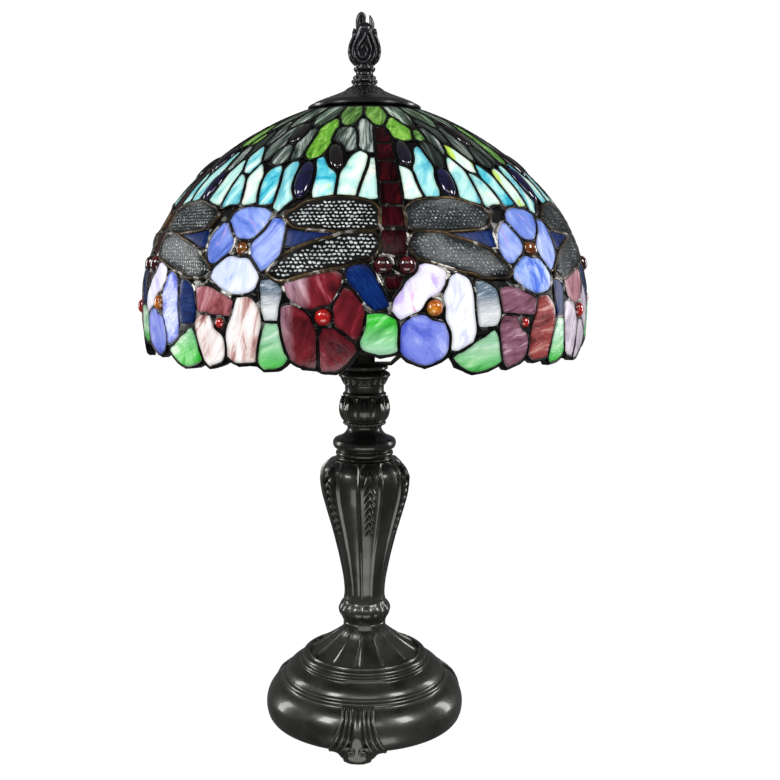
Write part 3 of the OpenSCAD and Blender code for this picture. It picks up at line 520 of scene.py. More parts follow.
class Paint:
    """A node material on one Principled shader, kept in paints; sockets among its values are linked."""

    def __init__(self, name, **shader):
        self.material = bpy.data.materials.new(name)
        self.material.use_nodes = True
        self.tree = self.material.node_tree
        self.shader = self.tree.nodes["Principled BSDF"]
        self.set(self.shader, shader)
        paints[name] = self.material

    def set(self, node, values):
        for key, value in values.items():
            socket = node.inputs[key.replace("_", " ") if isinstance(key, str) else key]
            if isinstance(value, bpy.types.NodeSocket):
                self.tree.links.new(value, socket)
            else:
                socket.default_value = value

    def node(self, kind, inputs=(), **settings):
        node = self.tree.nodes.new("ShaderNode" + kind)
        for key, value in settings.items():
            setattr(node, key, value)
        self.set(node, dict(inputs))
        return node

    def mark(self, name, output="Fac"):
        return self.node("Attribute", attribute_name=name).outputs[output]

    def scaled(self, vector, scale):
        return self.node("Mapping", {"Vector": vector, "Scale": scale}).outputs[0]

    def noise(self, vector, scale, detail=3.0, distortion=0.0, roughness=0.55):
        return self.node("TexNoise", {"Vector": vector, "Scale": scale, "Detail": detail,
                                      "Distortion": distortion, "Roughness": roughness}).outputs[0]

    def maths(self, operation, a, b=0.0, clamp=False):
        return self.node("Math", {0: a, 1: b}, operation=operation, use_clamp=clamp).outputs[0]

    def times(self, a, b, clamp=False):
        return self.maths("MULTIPLY", a, b, clamp)

    def plus(self, a, b, clamp=False):
        return self.maths("ADD", a, b, clamp)

    def ramp(self, factor, stops):
        node = self.node("ValToRGB", {"Fac": factor})
        node.color_ramp.interpolation = "EASE"
        points = node.color_ramp.elements
        while len(points) < len(stops):
            points.new(0.5)
        for point, (place, code) in zip(points, stops):
            point.position, point.color = place, ink(code)
        return node.outputs[0]

    def mix(self, factor, a, b, blend="MIX"):
        node = self.node("Mix", data_type="RGBA", blend_type=blend)
        self.set(node, {0: factor, 6: a, 7: b})
        return node.outputs[2]

    def bump(self, height, strength, distance, below=None):
        inputs = {"Height": height, "Strength": strength, "Distance": distance}
        if below is not None:
            inputs["Normal"] = below
        return self.node("Bump", inputs).outputs[0]


def art_glass(name, low, high=None, patch=None, streaks=(0.05, 0.45), contrast=0.5, steady=0.7, rough=0.16,
              ripple=0.25, edge_shade=0.45, through=0.0, fine=1.0, coat=0.04, shine=0.2):
    """Streaky glass: a pane's tone slides its colour from the low ramp to the high one."""
    paint = Paint(name, IOR=1.5, Coat_Weight=coat, Coat_Roughness=0.06, Specular_IOR_Level=shine)
    flow, tone, rim = paint.mark("flow", "Vector"), paint.mark("tone"), paint.mark("rim")
    broad = paint.noise(paint.scaled(flow, (streaks[0], streaks[1] * 0.4, 1)), 1.0, 4, 1.3)
    thin = paint.noise(paint.scaled(flow, (streaks[0] * 1.5, streaks[1] * 1.8, 1)), 1.0, 6, 0.8, 0.65)
    mixed = paint.plus(paint.times(broad, 0.6), paint.times(thin, 0.4 * fine))
    spread = paint.times(paint.maths("SUBTRACT", mixed, 0.3 + 0.2 * fine), 1 / (0.35 * contrast + 0.08))
    spread = paint.plus(spread, 0.5, clamp=True)
    colour = paint.ramp(spread, low)
    if high:
        blend = paint.plus(tone, paint.times(paint.maths("SUBTRACT", broad, 0.5), 1 - steady), True)
        colour = paint.mix(blend, colour, paint.ramp(spread, high))
    if patch:
        cloud = paint.noise(paint.scaled(flow, (0.05, 0.09, 1)), 1.0, 2, 2.0)
        colour = paint.mix(paint.ramp(cloud, [(patch[1], "000000"),
                                              (patch[2], "FFFFFF")]), colour, ink(patch[0]))
    # Painted shade: the colour darkens towards each pane's or gem's edge, where rim is small, by as much as
    # edge_shade says
    dark = paint.ramp(paint.times(rim, 0.45, True), [(0.0, "808080"), (1.0, "FFFFFF")])
    colour = paint.mix(edge_shade, colour, dark, "MULTIPLY")
    wavy = paint.noise(paint.scaled(flow, (0.12, 0.45, 1)), 1.0, 3, 1.0)
    uneven = paint.noise(paint.node("NewGeometry").outputs["Position"], 900, 2)
    normal = paint.bump(wavy, ripple, 0.0012)
    normal = paint.bump(uneven, 0.08, 0.0004, normal)
    roughness = paint.plus(paint.times(thin, 0.16), rough - 0.06)
    paint.set(paint.shader, {"Base Color": colour, "Roughness": roughness, "Normal": normal,
                             "Transmission Weight": through})


def metal(name, dark, light, rough, metallic=0.9, grain=0.25, size=260.0, coat=0.0, worn=None, silver_glints=0.0,
          gloss=0.12, shine=0.5):
    """Cast or turned metal: clouded colour, uneven roughness and a fine cast grain."""
    paint = Paint(name, Metallic=metallic, Coat_Weight=coat, Coat_Roughness=gloss, Specular_IOR_Level=shine)
    place = paint.node("NewGeometry")
    cloud = paint.noise(place.outputs["Position"], 38, 5, 0.6)
    fine = paint.noise(place.outputs["Position"], size, 4)
    colour = paint.ramp(cloud, [(0.3, dark), (0.72, light)])
    if worn:
        ridge = paint.ramp(place.outputs["Pointiness"], [(0.50, "000000"), (0.60, "FFFFFF")])
        ridge = paint.mix(1.0, ridge, paint.ramp(fine, [(0.3, "303030"), (0.7, "FFFFFF")]), "MULTIPLY")
        colour = paint.mix(ridge, colour, ink(worn))
    # Silver flecks in a band of heights along the shade's border: partly bare solder, partly painted
    # highlights on the beads
    if silver_glints:
        height = paint.node("SeparateXYZ", {0: place.outputs["Position"]}).outputs[2]
        span = paint.node("MapRange", {"Value": height, "From Min": 0.28, "From Max": 0.38})
        low = paint.ramp(span.outputs[0], [(0.12, "000000"), (0.3, "FFFFFF"), (0.6, "FFFFFF"),
                                           (0.95, "000000")])
        glint = paint.ramp(paint.noise(place.outputs["Position"], 110, 4, 0.8), [(0.54, "000000"),
                                                                                 (0.63, "FFFFFF")])
        colour = paint.mix(paint.times(paint.times(low, glint), silver_glints), colour, ink("C9C6C0"))
    roughness = paint.plus(paint.times(fine, 0.22), rough - 0.1)
    paint.set(paint.shader, {"Base Color": colour, "Roughness": roughness,
                             "Normal": paint.bump(fine, grain, 0.0003)})


def felt_like(name, low, high):
    paint = Paint(name, Roughness=0.95, Sheen_Weight=0.5, Sheen_Roughness=0.5)
    place = paint.node("NewGeometry").outputs["Position"]
    fuzz = paint.noise(place, 1400, 6)
    paint.set(paint.shader, {"Base Color": paint.ramp(fuzz, [(0.3, low), (0.7, high)]),
                             "Normal": paint.bump(fuzz, 0.7, 0.0005)})


def moulded(name, low, high, rough=0.45, size=500):
    paint = Paint(name, Roughness=rough)
    place = paint.node("NewGeometry").outputs["Position"]
    grain = paint.noise(place, size, 4)
    paint.set(paint.shader, {"Base Color": paint.ramp(grain, [(0.35, low), (0.65, high)]),
                             "Roughness": paint.plus(paint.times(grain, 0.2), rough - 0.1),
                             "Normal": paint.bump(grain, 0.2, 0.0002)})


metal("bronze", "282823", "434540", 0.31, metallic=0.68, grain=0.12, coat=0.5, worn="58554C")
metal("polished", "121214", "22242A", 0.27, metallic=0.85, grain=0.0, size=60, coat=0.9, gloss=0.24)
metal("dark_brass", "080706", "15120E", 0.34, metallic=0.7, coat=0.3, worn="4A3D28")
metal("brass", "8A6A33", "B08C4C", 0.3, grain=0.1)
metal("iron", "2B2A29", "45423E", 0.7, grain=0.8, size=150)
metal("bulb_metal", "A9A9A8", "D4D4D2", 0.25, grain=0.05)
metal("solder", "030303", "0D0B0A", 0.34, metallic=0.7, grain=0.4, size=420, silver_glints=0.8)
metal("wing_edge", "0F0C08", "4E402C", 0.36, grain=1.0, size=800, worn="9A8458", silver_glints=0.5)
felt_like("felt", "12201A", "1F3529")
moulded("rubber", "0B0B0B", "161616", 0.6)
moulded("card", "6E5736", "8A7048", 0.8, 300)
moulded("phenolic", "1A0F0A", "2C1A12", 0.35)
moulded("bulb_glass", "EDEDE6", "FAFAF4", 0.35, 200)
metal("grey_net", "050607", "2C3234", 0.34, metallic=0.3, grain=1.0, size=420, shine=0.35)
metal("wing_net", "020202", "070706", 0.5, metallic=0.0, shine=0.12)
art_glass("crown_leaf", [(0, "0E1411"), (0.35, "2C3A33"), (0.65, "67796E"), (1, "C4D2C9")],
          [(0, "2E5215"), (0.4, "5C9031"), (0.75, "7DB24C"), (1, "A9CF86")],
          streaks=(0.025, 0.5), contrast=0.4, rough=0.2, ripple=0.7, coat=0.4)
art_glass("bright_leaf", [(0, "2C4A22"), (0.5, "527F3C"), (1, "8DB47E")],
          [(0, "3C701A"), (0.5, "67A632"), (1, "A4D36A")],
          streaks=(0.08, 0.4), rough=0.2, ripple=0.55)
art_glass("dark_leaf", [(0, "0C110F"), (0.5, "26312C"), (1, "4C5C54")],
          [(0, "18211D"), (0.45, "4B5B53"), (1, "C3CDC7")],
          streaks=(0.025, 0.6), contrast=0.4, rough=0.2, ripple=0.7, coat=0.4)
art_glass("sky", [(0, "8FD3D0"), (0.35, "C6EBDD"), (0.7, "E4F5E2"), (1, "F6F8E6")],
          [(0, "1C9DBC"), (0.3, "4FBFD2"), (0.6, "9ADFE0"), (1, "DDF5EC")],
          patch=("C9E462", 0.66, 0.8), streaks=(0.03, 0.15), contrast=0.35, ripple=0.1, fine=0.35)
art_glass("oval", [(0, "050406"), (1, "160C0E")], [(0, "04030F"), (1, "15103E")],
          rough=0.08, ripple=0.0, edge_shade=0.0, coat=0.7, shine=0.5)
art_glass("ruby", [(0, "0E0204"), (0.5, "26050A"), (1, "430A11")], rough=0.14, ripple=0.2,
          coat=0.0, shine=0.1)
art_glass("eye", [(0, "120103"), (0.5, "2E0308"), (1, "5C0810")], rough=0.06, ripple=0.05, edge_shade=0,
          coat=0.8, shine=0.6)
art_glass("wing", [(0, "3E4547"), (0.45, "6A7477"), (0.8, "A3ADB0"), (1, "DDE3E4")],
          [(0, "A9B1B3"), (0.5, "CDD3D4"), (1, "EDF1F1")], rough=0.2, ripple=0.4)
art_glass("lime", [(0, "86C23A"), (0.3, "C4E25C"), (0.55, "CDEBDC"), (1, "EAF7EC")],
          streaks=(0.02, 0.15), contrast=0.3, fine=0.4)
art_glass("frost", [(0, "9DB2E6"), (0.35, "CFDAF6"), (1, "F7F9FF")], streaks=(0.03, 0.15), fine=0.4)
art_glass("navy", [(0, "030B26"), (0.5, "07225A"), (1, "133C7E")], contrast=0.8, rough=0.25,
          ripple=0.1, coat=0.0, shine=0.08)
art_glass("blue", [(0, "4662BE"), (0.5, "7890DC"), (1, "A6B7EE")],
          [(0, "1C3FC0"), (0.4, "4A72DE"), (0.7, "9DB6F0"), (1, "D5DFF8")],
          patch=("B79FDC", 0.6, 0.78), streaks=(0.03, 0.15), fine=0.4)
art_glass("red", [(0, "2A070E"), (0.4, "541019"), (0.75, "741C28"), (1, "A0525E")],
          [(0, "5E2C38"), (0.5, "A57F8E"), (1, "D9C0CA")], streaks=(0.03, 0.16), fine=0.5, steady=0.2,
          coat=0.1, shine=0.3)
art_glass("rose", [(0, "B19DB2"), (0.5, "DDD0DF"), (1, "F8F2F7")],
          [(0, "6E3A44"), (0.5, "A4606C"), (1, "CFA0A8")], streaks=(0.04, 0.18), fine=0.6)
art_glass("mauve", [(0, "4C2A34"), (0.5, "85586A"), (1, "C09DAE")],
          [(0, "561A1C"), (0.5, "94403F"), (1, "C98F86")], streaks=(0.03, 0.25), fine=0.7)
art_glass("pale", [(0, "8C5653"), (0.3, "C9A09B"), (0.55, "EFE2DE"), (1, "FFFFFF")],
          [(0, "662029"), (0.5, "96424E"), (1, "C78A91")], streaks=(0.03, 0.17), contrast=0.35,
          fine=0.7)
art_glass("lilac", [(0, "C0AAE6"), (0.35, "E4E0F8"), (1, "FFFFFF")],
          patch=("E4A8D2", 0.6, 0.8), streaks=(0.03, 0.12), fine=0.4)
art_glass("white", [(0, "D2D6F0"), (0.35, "F2F4FC"), (1, "FFFFFF")], streaks=(0.03, 0.12),
          fine=0.4)
art_glass("periwinkle", [(0, "4A5AC8"), (0.5, "7C8AE4"), (1, "B9C2F6")],
          patch=("C8CCF8", 0.6, 0.8), streaks=(0.03, 0.14), fine=0.4)
art_glass("green", [(0, "6FB080"), (0.5, "9FD3AC"), (1, "DDF3E0")],
          [(0, "1C8A1E"), (0.4, "3FBE3E"), (0.75, "8FE08C"), (1, "DDF8DA")], streaks=(0.025, 0.14), fine=0.5)
# Clear glass: painted dark blue-grey to white, standing in for the shade and the light seen through it
art_glass("clear", [(0, "27333F"), (0.6, "6E8194"), (1, "D5DFE8")],
          [(0, "B9C4CE"), (0.4, "EEF2F5"), (1, "FFFFFF")], contrast=0.9, rough=0.08, ripple=0.9,
          through=0.2)
art_glass("jewel", [(0, "6E0606"), (0.5, "B00F0C"), (1, "D8281A")],
          [(0, "7A2E06"), (0.5, "C46A10"), (1, "F0B040")], rough=0.08, ripple=0.05, edge_shade=0.95, contrast=0.9,
          coat=0.8, shine=0.6)

# Nodes that keep their CAD shape, by finish
PLAIN_NODES = {
    "bronze": "waist_ring neck_plate", "polished": "vase_cap", "solder": "shade_web", "iron": "base_weight",
    "felt": "base_felt", "rubber": "cord_grommet", "card": "socket_liner",
    "phenolic": "socket_core switch_key bulb_insulator", "bulb_metal": "bulb_contact bulb_base",
    "bulb_glass": "bulb_glass",
    "dark_brass": "harp_saddle socket_cap socket_shell harp_wire harp_seat harp_ferrule_left "
                  "harp_ferrule_right",
    "brass": "bottom_washer bottom_nut threaded_rod screw_shell centre_contact switch_barrel harp_stud "
             "shade_spider crown_ring"}
for finish, nodes in PLAIN_NODES.items():
    for node in nodes.split():
        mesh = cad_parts[node].data
        mesh.materials.clear()
        mesh.materials.append(paints[finish])

# ---------- the shade ----------

beads, wing_edges = Shape(), Shape()
pattern = read_pattern()


# Directions of streaks in a pane's plane, in degrees
UPRIGHT, LEVEL = 84, 15


def leaf_streak(pane):
    return pane.chance.choice([86, 94, 80, 100])


def sky_streak(pane):
    return pane.chance.choice([80, 95, 70, 60])


def petal_streak(pane):
    return pane.chance.choice([60, 90, 120, 75])


def near(pane, low, high):
    """Whether a pane's azimuth lies between two bounds."""
    return low <= (pane.azimuth + 180) % 360 - 180 <= high


def frosted(pane):
    """The pale lowest petal of the blue flower left of the front dragonfly."""
    return pane.along > LOW_PETAL and near(pane, -45, -15)


def limed(pane):
    """The few yellow-green panes of the sky."""
    return near(pane, 30, 34) and pane.along < 82 or near(pane, 43, 47) and pane.along > 82


def leftmost(pane):
    """Border panes at the left of the view that differ from their twins in the other repeats."""
    return near(pane, -65, -38)


def central(pane):
    """The bright green border pane below the front dragonfly."""
    return near(pane, -8, 12)


def bright_wing(pane):
    """The two wings left of the front dragonfly's body."""
    return near(pane, -25, 5)


def grey_wing(pane):
    """The two wings right of the front dragonfly's body."""
    return near(pane, 5, 40)


def none_of(*rules):
    return lambda pane: not any(rule(pane) for rule in rules)


def crown_tone(pane):
    if near(pane, -3, 15):
        return 1.0
    if near(pane, -17, -3):
        return 0.75
    return pane.chance.choice([0.0, 0.1, 0.2, 0.35])


def bright_tone(pane):
    return 1.0 if near(pane, -20, 20) else pane.chance.uniform(0, 0.8)


def dark_tone(pane):
    return pane.chance.choice([0.0, 0.3, 0.9])


def sky_tone(pane):
    if near(pane, -8, 6):
        return 0.15
    return pane.chance.choice([0.35, 0.6, 0.8, 1.0])


def wing_tone(pane):
    return 0.1 if grey_wing(pane) else 0.8 if bright_wing(pane) else 0.6


def blue_tone(pane):
    return 1.0 if near(pane, 36, 50) and pane.along > LOW_PETAL else pane.chance.uniform(0.0, 0.2)


def red_tone(pane):
    return -0.3 if pane.across < -17 or pane.along < 175 else -3


def jewel_tone(gem):
    """Amber in the mixed and the blue flowers, and red in the others."""
    return 1.0 if abs(gem.across - 8.4) < 3 or gem.along < 150 else 0.0


glaze("crown_leaf_glass", "crown_leaf", leaf_streak, crown_tone, ripple=0.3, wave=5)
glaze("bright_leaf_glass", "bright_leaf", leaf_streak, bright_tone, ripple=0.3, wave=5)
glaze("dark_leaf_glass", "dark_leaf", leaf_streak, dark_tone, ripple=0.3, wave=5)
glaze("sky_glass", "sky", sky_streak, sky_tone, only=none_of(limed))
glaze("sky_glass", "sky", UPRIGHT, only=limed, name="lime_panes", paint="lime")
glaze("body_glass", "ruby", UPRIGHT, ripple=0.2, wave=4)
glaze("wing_glass", "wing", LEVEL, wing_tone)
glaze("navy_glass", "navy", petal_streak)
glaze("blue_petal_glass", "blue", petal_streak, blue_tone, only=none_of(frosted))
glaze("blue_petal_glass", "blue", petal_streak, only=frosted, name="frosted_petals", paint="frost")
glaze("red_petal_glass", "red", petal_streak, red_tone, fade=(-0.1, 0))
glaze("rose_petal_glass", "rose", petal_streak, lambda pane: 0.9 if pane.along < 172 else 0.0)
glaze("mauve_petal_glass", "mauve", LEVEL, lambda pane: 1.0 if near(pane, 40, 48) else 0.0)
glaze("pale_petal_glass", "pale", petal_streak, lambda pane: 0.9 if pane.along < 180 else 0.0)
glaze("lilac_petal_glass", "lilac", petal_streak)
glaze("white_petal_glass", "white", UPRIGHT, only=none_of(leftmost))
glaze("white_petal_glass", "white", LEVEL, only=leftmost, name="blue_border_petals", paint="periwinkle")
glaze("periwinkle_glass", "periwinkle", petal_streak)
glaze("green_border_glass", "green", LEVEL, lambda pane: 0.9 if near(pane, -52, -40) else 0.3,
      fade=(0, -0.06), only=none_of(central))
glaze("green_border_glass", "green", LEVEL, 0.6, fade=(0, 0.07), only=central, name="bright_green_pane")
# Painted shade and light on the clear panes: darker towards each pane's top, lighter towards its foot
glaze("clear_glass", "clear", LEVEL, 0.5, ripple=0.5, wave=5, fade=(0, -0.09), only=none_of(leftmost))
glaze("clear_glass", "clear", LEVEL, only=leftmost, name="navy_border_panes", paint="navy")
gems("oval_gems", "oval", 0.6, lambda gem: {96: 1.0, 99: 1.0, 73: 0.3}.get(round(gem.along), 0.0))
gems("eye_gems", "eye", 0.85)
gems("flower_gems", "jewel", 0.75, jewel_tone, facets=1)


def pierced_overlay(name, finish, only, spacing, sizes, jitter, leans=(-1.4, 0.3)):
    """Nets with oval holes that lie on the dragonflies' wings."""
    net, oval = Shape(), around(8)
    for pane in filter(only, pattern["wing_glass"]):
        chance = pane.chance.uniform
        holes = []
        for x, y in hexagons(pane.outline, spacing, 1.3):
            size, slim, lean = chance(*sizes), chance(0.45, 0.75), chance(*leans)
            x, y = x + chance(-jitter, jitter), y + chance(-jitter, jitter)
            along = np.array([math.cos(lean), math.sin(lean)])
            across = np.array([-math.sin(lean), math.cos(lean)])
            holes.append((x, y) + size * (oval[:, :1] * along + slim * oval[:, 1:] * across))
        slab(net, pane.outline, [], lambda points: pane.face(points, 0.7),
             lambda points: pane.face(points, 0.1), pane.place, holes)
    net.make(name, paints[finish], "shade", "wing")


pierced_overlay("bright_wing_nets", "wing_net", bright_wing, 2.7, (0.85, 1.3), 0.3, (-0.7, 0.4))
pierced_overlay("grey_wing_nets", "grey_net", grey_wing, 2.45, (0.45, 0.95), 0.45)
pierced_overlay("speckled_wing_nets", "grey_net", none_of(bright_wing, grey_wing), 2.5, (0.7, 1.15), 0.35)
beads.make("solder_beads", paints["solder"], "shade", "solder", crease=180)
wing_edges.make("wing_edges", paints["wing_edge"], "shade", "solder", crease=180)


# ---------- the stand ----------


def flute(angle):
    """-1 to 1 across each flute, from ridge to ridge."""
    return ((angle - FLUTE_TURN) % (360 / FLUTES)) / (180 / FLUTES) - 1


def skirt(degrees):
    """Points of the base's round skirt, at angles above its widest height."""
    return [(SKIRT_CENTRE[0] + SKIRT_HALF[0] * math.cos(a), SKIRT_CENTRE[1] + SKIRT_HALF[1] * math.sin(a))
            for a in np.radians(degrees)]


def cast(shape, name, *nodes, crease=60):
    """Make a bronze piece of the stand, in place of CAD nodes."""
    shape.make(name, paints["bronze"], "stand", "bronze", nodes, crease)


def beaded(low, high, count, depth, floor):
    """Relief that beads a ring between two heights."""
    def relief(angle, r, z):
        bead = depth * abs(math.sin(math.radians(angle * count))) - floor
        return r + (bead if low < z < high else 0), z
    return relief


def base():
    """Turned and fluted base: bore, tent of twelve ribbed flutes, rolled rings and a round skirt."""
    shape = Shape()
    rim_r, rim_z = 41.2, 51.6
    cone = spline([(15.2, 70), (16.4, 69), (19, 66.6), (23.5, 63.2), (30, 59), (36.6, 55.2), (40.4, 53.0),
                   (rim_r, rim_z)], 0.6)
    rings = spline([(rim_r, rim_z), (42.6, 51.8), (44.2, 51.0), (44.9, 49.6), (44.9, 48.7), (45.4, 48.1),
                    (46.6, 47.7), (47.2, 46.8), (47.1, 45.6), (47.4, 44.9), (49.2, 44.4), (52, 43.0),
                    (54.8, 40.9),
                    (56.7, 38.4), (57.1, 36.9), (57.7, 36.3), (59, 35.7), (59.7, 34.7), (59.6, 33.6),
                    (60.1, 32.7)], 0.6)
    foot = [(69.4, 6.9), (68.4, 6.3), (66.8, 6.6), (66.2, 7.6)]
    inner = [(67.6, 15), (65.6, 21), (60.6, 27), (53.6, 32), (49.6, 36), (42.6, 40), (33.6, 42.6), (12, 44),
             (12, 30), (BORE, 30), (BORE, 50), (BORE, 70)]

    def relief(angle, r, z):
        if r > rim_r or z <= rim_z:
            return r, z
        w = flute(angle)
        scoop = (1 - smooth_step(r, 38.6 - 2.5 * w * w, 40.6)) * smooth_step(r, 15, 20)
        depth = (0.8 + 2.6 * smooth_step(r, 16, 37)) * scoop
        rib = 0.35 * math.exp(-((1 - abs(w)) * r / 40 / 0.07) ** 2) * scoop
        return r, z - depth * (1 - w ** 4) + rib

    lathe(shape, [*cone, *rings[1:], *skirt(np.arange(62, -26, -4.0)), *foot], inner, relief, 360)
    cast(shape, "base_body", "base_casting", "base_cone", crease=55)


def feet():
    """Three scroll feet: a ribbed fan over the skirt that rolls under into a toe."""
    shape = Shape()
    spine = spline([(58.0, 35.4), *skirt([58, 40, 22, 4, -14]), (70.6, 6.6), (70.2, 3.4), (68.2, 0.9),
                    (65.2, 0.2), (62.6, 1.6), (61.6, 4.4)], 1.1)
    rows = len(spine)
    ahead = np.gradient(spine, axis=0)
    away = np.stack([-ahead[:, 1], ahead[:, 0]], 1)
    away /= np.linalg.norm(away, axis=1)[:, None]
    across = np.linspace(-1, 1, 97)
    for foot in range(3):
        turn = -4 + 120 * foot
        front, back = [], []
        for k, ((r, z), out) in enumerate(zip(spine, away)):
            v = k / (rows - 1)
            half = 11.5 + 9.5 * smooth_step(v, 0.2, 0.75)
            fade = smooth_step(v, 0.0, 0.12)
            for u in across:
                lobe = 0.26 + 0.2 * smooth_step(v, 0.45, 0.75)
                if abs(u) < lobe:
                    rib = (1.2 + 3.2 * smooth_step(v, 0.1, 0.7)) * math.sqrt(1 - (u / lobe) ** 2)
                else:
                    step = (abs(u) - lobe) / (1 - lobe) * 3
                    round_top = max(0.0, 1 - (2 * (step % 1) - 1) ** 2) ** 0.8
                    rib = 1.7 * round_top * (1 - 0.85 * smooth_step(v, 0.6, 0.78))
                high = (0.5 + rib) * fade * (1 - 0.6 * smooth_step(v, 0.85, 1.0))
                edge = smooth_step(1 - abs(u), 0, 0.06)
                high = high * edge - 1.2 * (1 - edge)
                raised = 4.2 * smooth_step(abs(u), 0.4, 0.75) * smooth_step(v, 0.5, 0.85)
                rr = r + out[0] * high - 1.2 * smooth_step(abs(u), 0.4, 0.7) * smooth_step(v, 0.6, 0.85)
                zz = max(0.02, z + out[1] * high + raised)
                angle = turn + math.degrees(half * u / r)
                front.append(polar(angle, min(rr, 74.6), zz))
                inward, sunk = (out[0], -2.4 * out[1]) if v < 0.55 else (0.4, 2.2)
                back.append(polar(angle, r - 3.2 * inward, z + raised + sunk))
        columns = len(across)
        n = rows * columns
        faces = []
        for a in range(rows - 1):
            for b in range(columns - 1):
                i = a * columns + b
                faces.append((i, i + columns, i + columns + 1, i + 1))
                faces.append((i + n, i + n + 1, i + n + columns + 1, i + n + columns))
        edge = ([(0, b) for b in range(columns - 1)] + [(a, columns - 1) for a in range(rows - 1)]
                + [(rows - 1, b) for b in range(columns - 1, 0, -1)]
                + [(a, 0) for a in range(rows - 1, 0, -1)])
        loop = [a * columns + b for a, b in edge]
        faces += [(i, j, j + n, i + n) for i, j in zip(loop, loop[1:] + loop[:1])]
        shape.add(front + back, faces)
        for side in (-1, 1):
            curl = [(4.3 + (3.6 - 0.42 * t) * math.cos(t), 8.6 + (3.6 - 0.42 * t) * math.sin(t))
                    for t in np.arange(0.6, 8, 0.3)]
            path = [polar(turn + side * math.degrees(x / 72), 74.9 - 0.02 * (z - 8) ** 2, z) for x, z in curl]
            tube(shape, path, np.linspace(1.3, 0.8, len(path)), sides=8)
    cast(shape, "scroll_fans", "scroll_feet", crease=70)


STEM = spline([(15.8, 75), (16.8, 78), (18.4, 81), (18.9, 84), (17.8, 87), (15.8, 89.8), (14.9, 92.5),
               (14.7, 97),
               (15.4, 105), (17.1, 114.5), (19.1, 124), (21.3, 133), (23.5, 141.5), (26, 150),
               (28.6, 159), (31, 168),
               (32.2, 176), (32.2, 181), (30.9, 186), (28.3, 190), (24, 194)], 0.9)


def stem_relief(angle, r, z):
    """Flat panels between raised ribs, and round lobes on the knop below them."""
    w = flute(angle)
    if z < 91:
        swell = smooth_step(z, 75, 80) * (1 - smooth_step(z, 87, 91))
        return r - 0.8 * swell * w * w - 0.4 * (1 - swell), z
    arch = smooth_step(196.5 - z - 4 * w * w, 0, 3.5) * smooth_step(z, 91, 97)
    depth = (0.7 + 1.0 * smooth_step(z, 95, 165)) * arch
    rib = math.exp(-((1 - abs(w)) * r * 0.26 / 0.9) ** 2)
    return r - depth * (1 - rib) + 0.3 * arch * (1 - w * w), z


def stem():
    shape = Shape()
    hollow = [(15.2, 75), (BORE, 75), (BORE, 128), (12.4, 130), (19, 152), (24.6, 168), (25, 178), (24, 183),
              (20, 187), (12, 188), (BORE, 188), (BORE, 194)]
    lathe(shape, STEM[::-1], hollow, stem_relief, 288)
    cast(shape, "stem_body", "stem_casting", crease=50)


def leaf(shape, root, tip, width, out, height):
    """Pointed leaf with a sharp midrib, laid on a surface whose normal is out."""
    ahead = (tip - root) / np.linalg.norm(tip - root)
    side = np.cross(ahead, out)
    side /= np.linalg.norm(side)
    rings = []
    for t in np.linspace(0.0, 1, 9):
        half = width * math.sin(math.pi * min(1, 0.12 + t * 0.88)) ** 0.8 + 0.05
        rise = height * math.sin(math.pi * (0.1 + 0.85 * t)) ** 0.7
        centre = root + t * (tip - root) + out * 0.8 * math.sin(math.pi * t) * height * 0.4
        section = [(1, -0.9), (0.95, 0), (0.5, 0.6 * rise), (0, rise), (-0.5, 0.6 * rise), (-0.95, 0),
                   (-1, -0.9)]
        rings.append([centre + across * half * side + up * out for across, up in section])
    shape.rings(rings)


def laurels():
    """Garlands of husk leaves that hang down every second panel of the stem."""
    shape = Shape()
    profile = STEM[STEM[:, 1].argsort()]

    def surface(angle, z):
        return stem_relief(angle, float(np.interp(z, profile[:, 1], profile[:, 0])), z)[0]

    for k in range(6):
        middle = 7.5 + 60 * k
        for row in range(8):
            size = 0.55 + 0.5 * row / 7
            z, drop, height = 147 + row * 5.6, 8.6 * size, 1.7 * size
            if row == 7:
                z, drop, height = 190.5, 12.5, 3.0
            for side in (-1, 1):
                a0 = middle + side * math.degrees(0.3 / surface(middle, z))
                a1 = middle + side * math.degrees(4.9 * size / surface(middle, z))
                root = polar(a0, surface(a0, z) + 0.8, z)
                tip = polar(a1, surface(a1, z - drop) + 0.4, z - drop)
                leaf(shape, root, tip, 1.3 * size, polar(middle, 1, 0), height)
    cast(shape, "laurel_leaves", "laurel_sprays", crease=35)


def neck():
    collar, drum = Shape(), Shape()
    line = spline([(13.2, 221), (14.9, 220.6), (15.1, 219.4), (14.3, 218.6), (13.2, 218.4), (12.4, 217.4),
                   (12.1, 216.2),
                   (12.6, 214.6), (14.2, 212.4), (16.6, 210.6), (19.2, 209.6), (21.2, 208.6),
                   (22.3, 206.8), (22.4, 204.6),
                   (21.4, 202.4), (19.6, 201.4), (18.9, 200.6), (19.4, 199.9), (20.3, 199.2),
                   (20.4, 197.8), (19.8, 196.8),
                   (19.3, 196.3), (20.1, 195.6), (20.3, 194.6), (19.4, 194)], 0.5)
    lathe(collar, line, [(BORE, 194), (BORE, 221)], beaded(218.9, 220.8, 18, 0.45, 0.25), 216)
    cast(collar, "collar_body", "neck_collar")
    line = spline([(14.2, 258), (15.2, 256.8), (17.4, 255.6), (18.2, 254.4), (18.2, 253.2), (17.2, 252.4),
                   (16.9, 251.6),
                   (16.0, 249.6), (15.3, 248.4), (14.9, 247.6), (14.0, 246.8), (13.8, 245.4),
                   (13.8, 242.6), (14.1, 241.6),
                   (15.0, 241.3), (15.4, 240.6), (15.3, 239.6), (14.6, 239)], 0.5)

    def ribbed(angle, r, z):
        rib = 0.9 * abs(math.sin(math.radians(angle * 12))) ** 0.6
        return r - rib * smooth_step(z, 248, 248.8) * (1 - smooth_step(z, 251.6, 252.4)), z

    lathe(drum, line, [(BORE, 239), (BORE, 258)], ribbed, 288)
    cast(drum, "drum_body", "neck_drum")


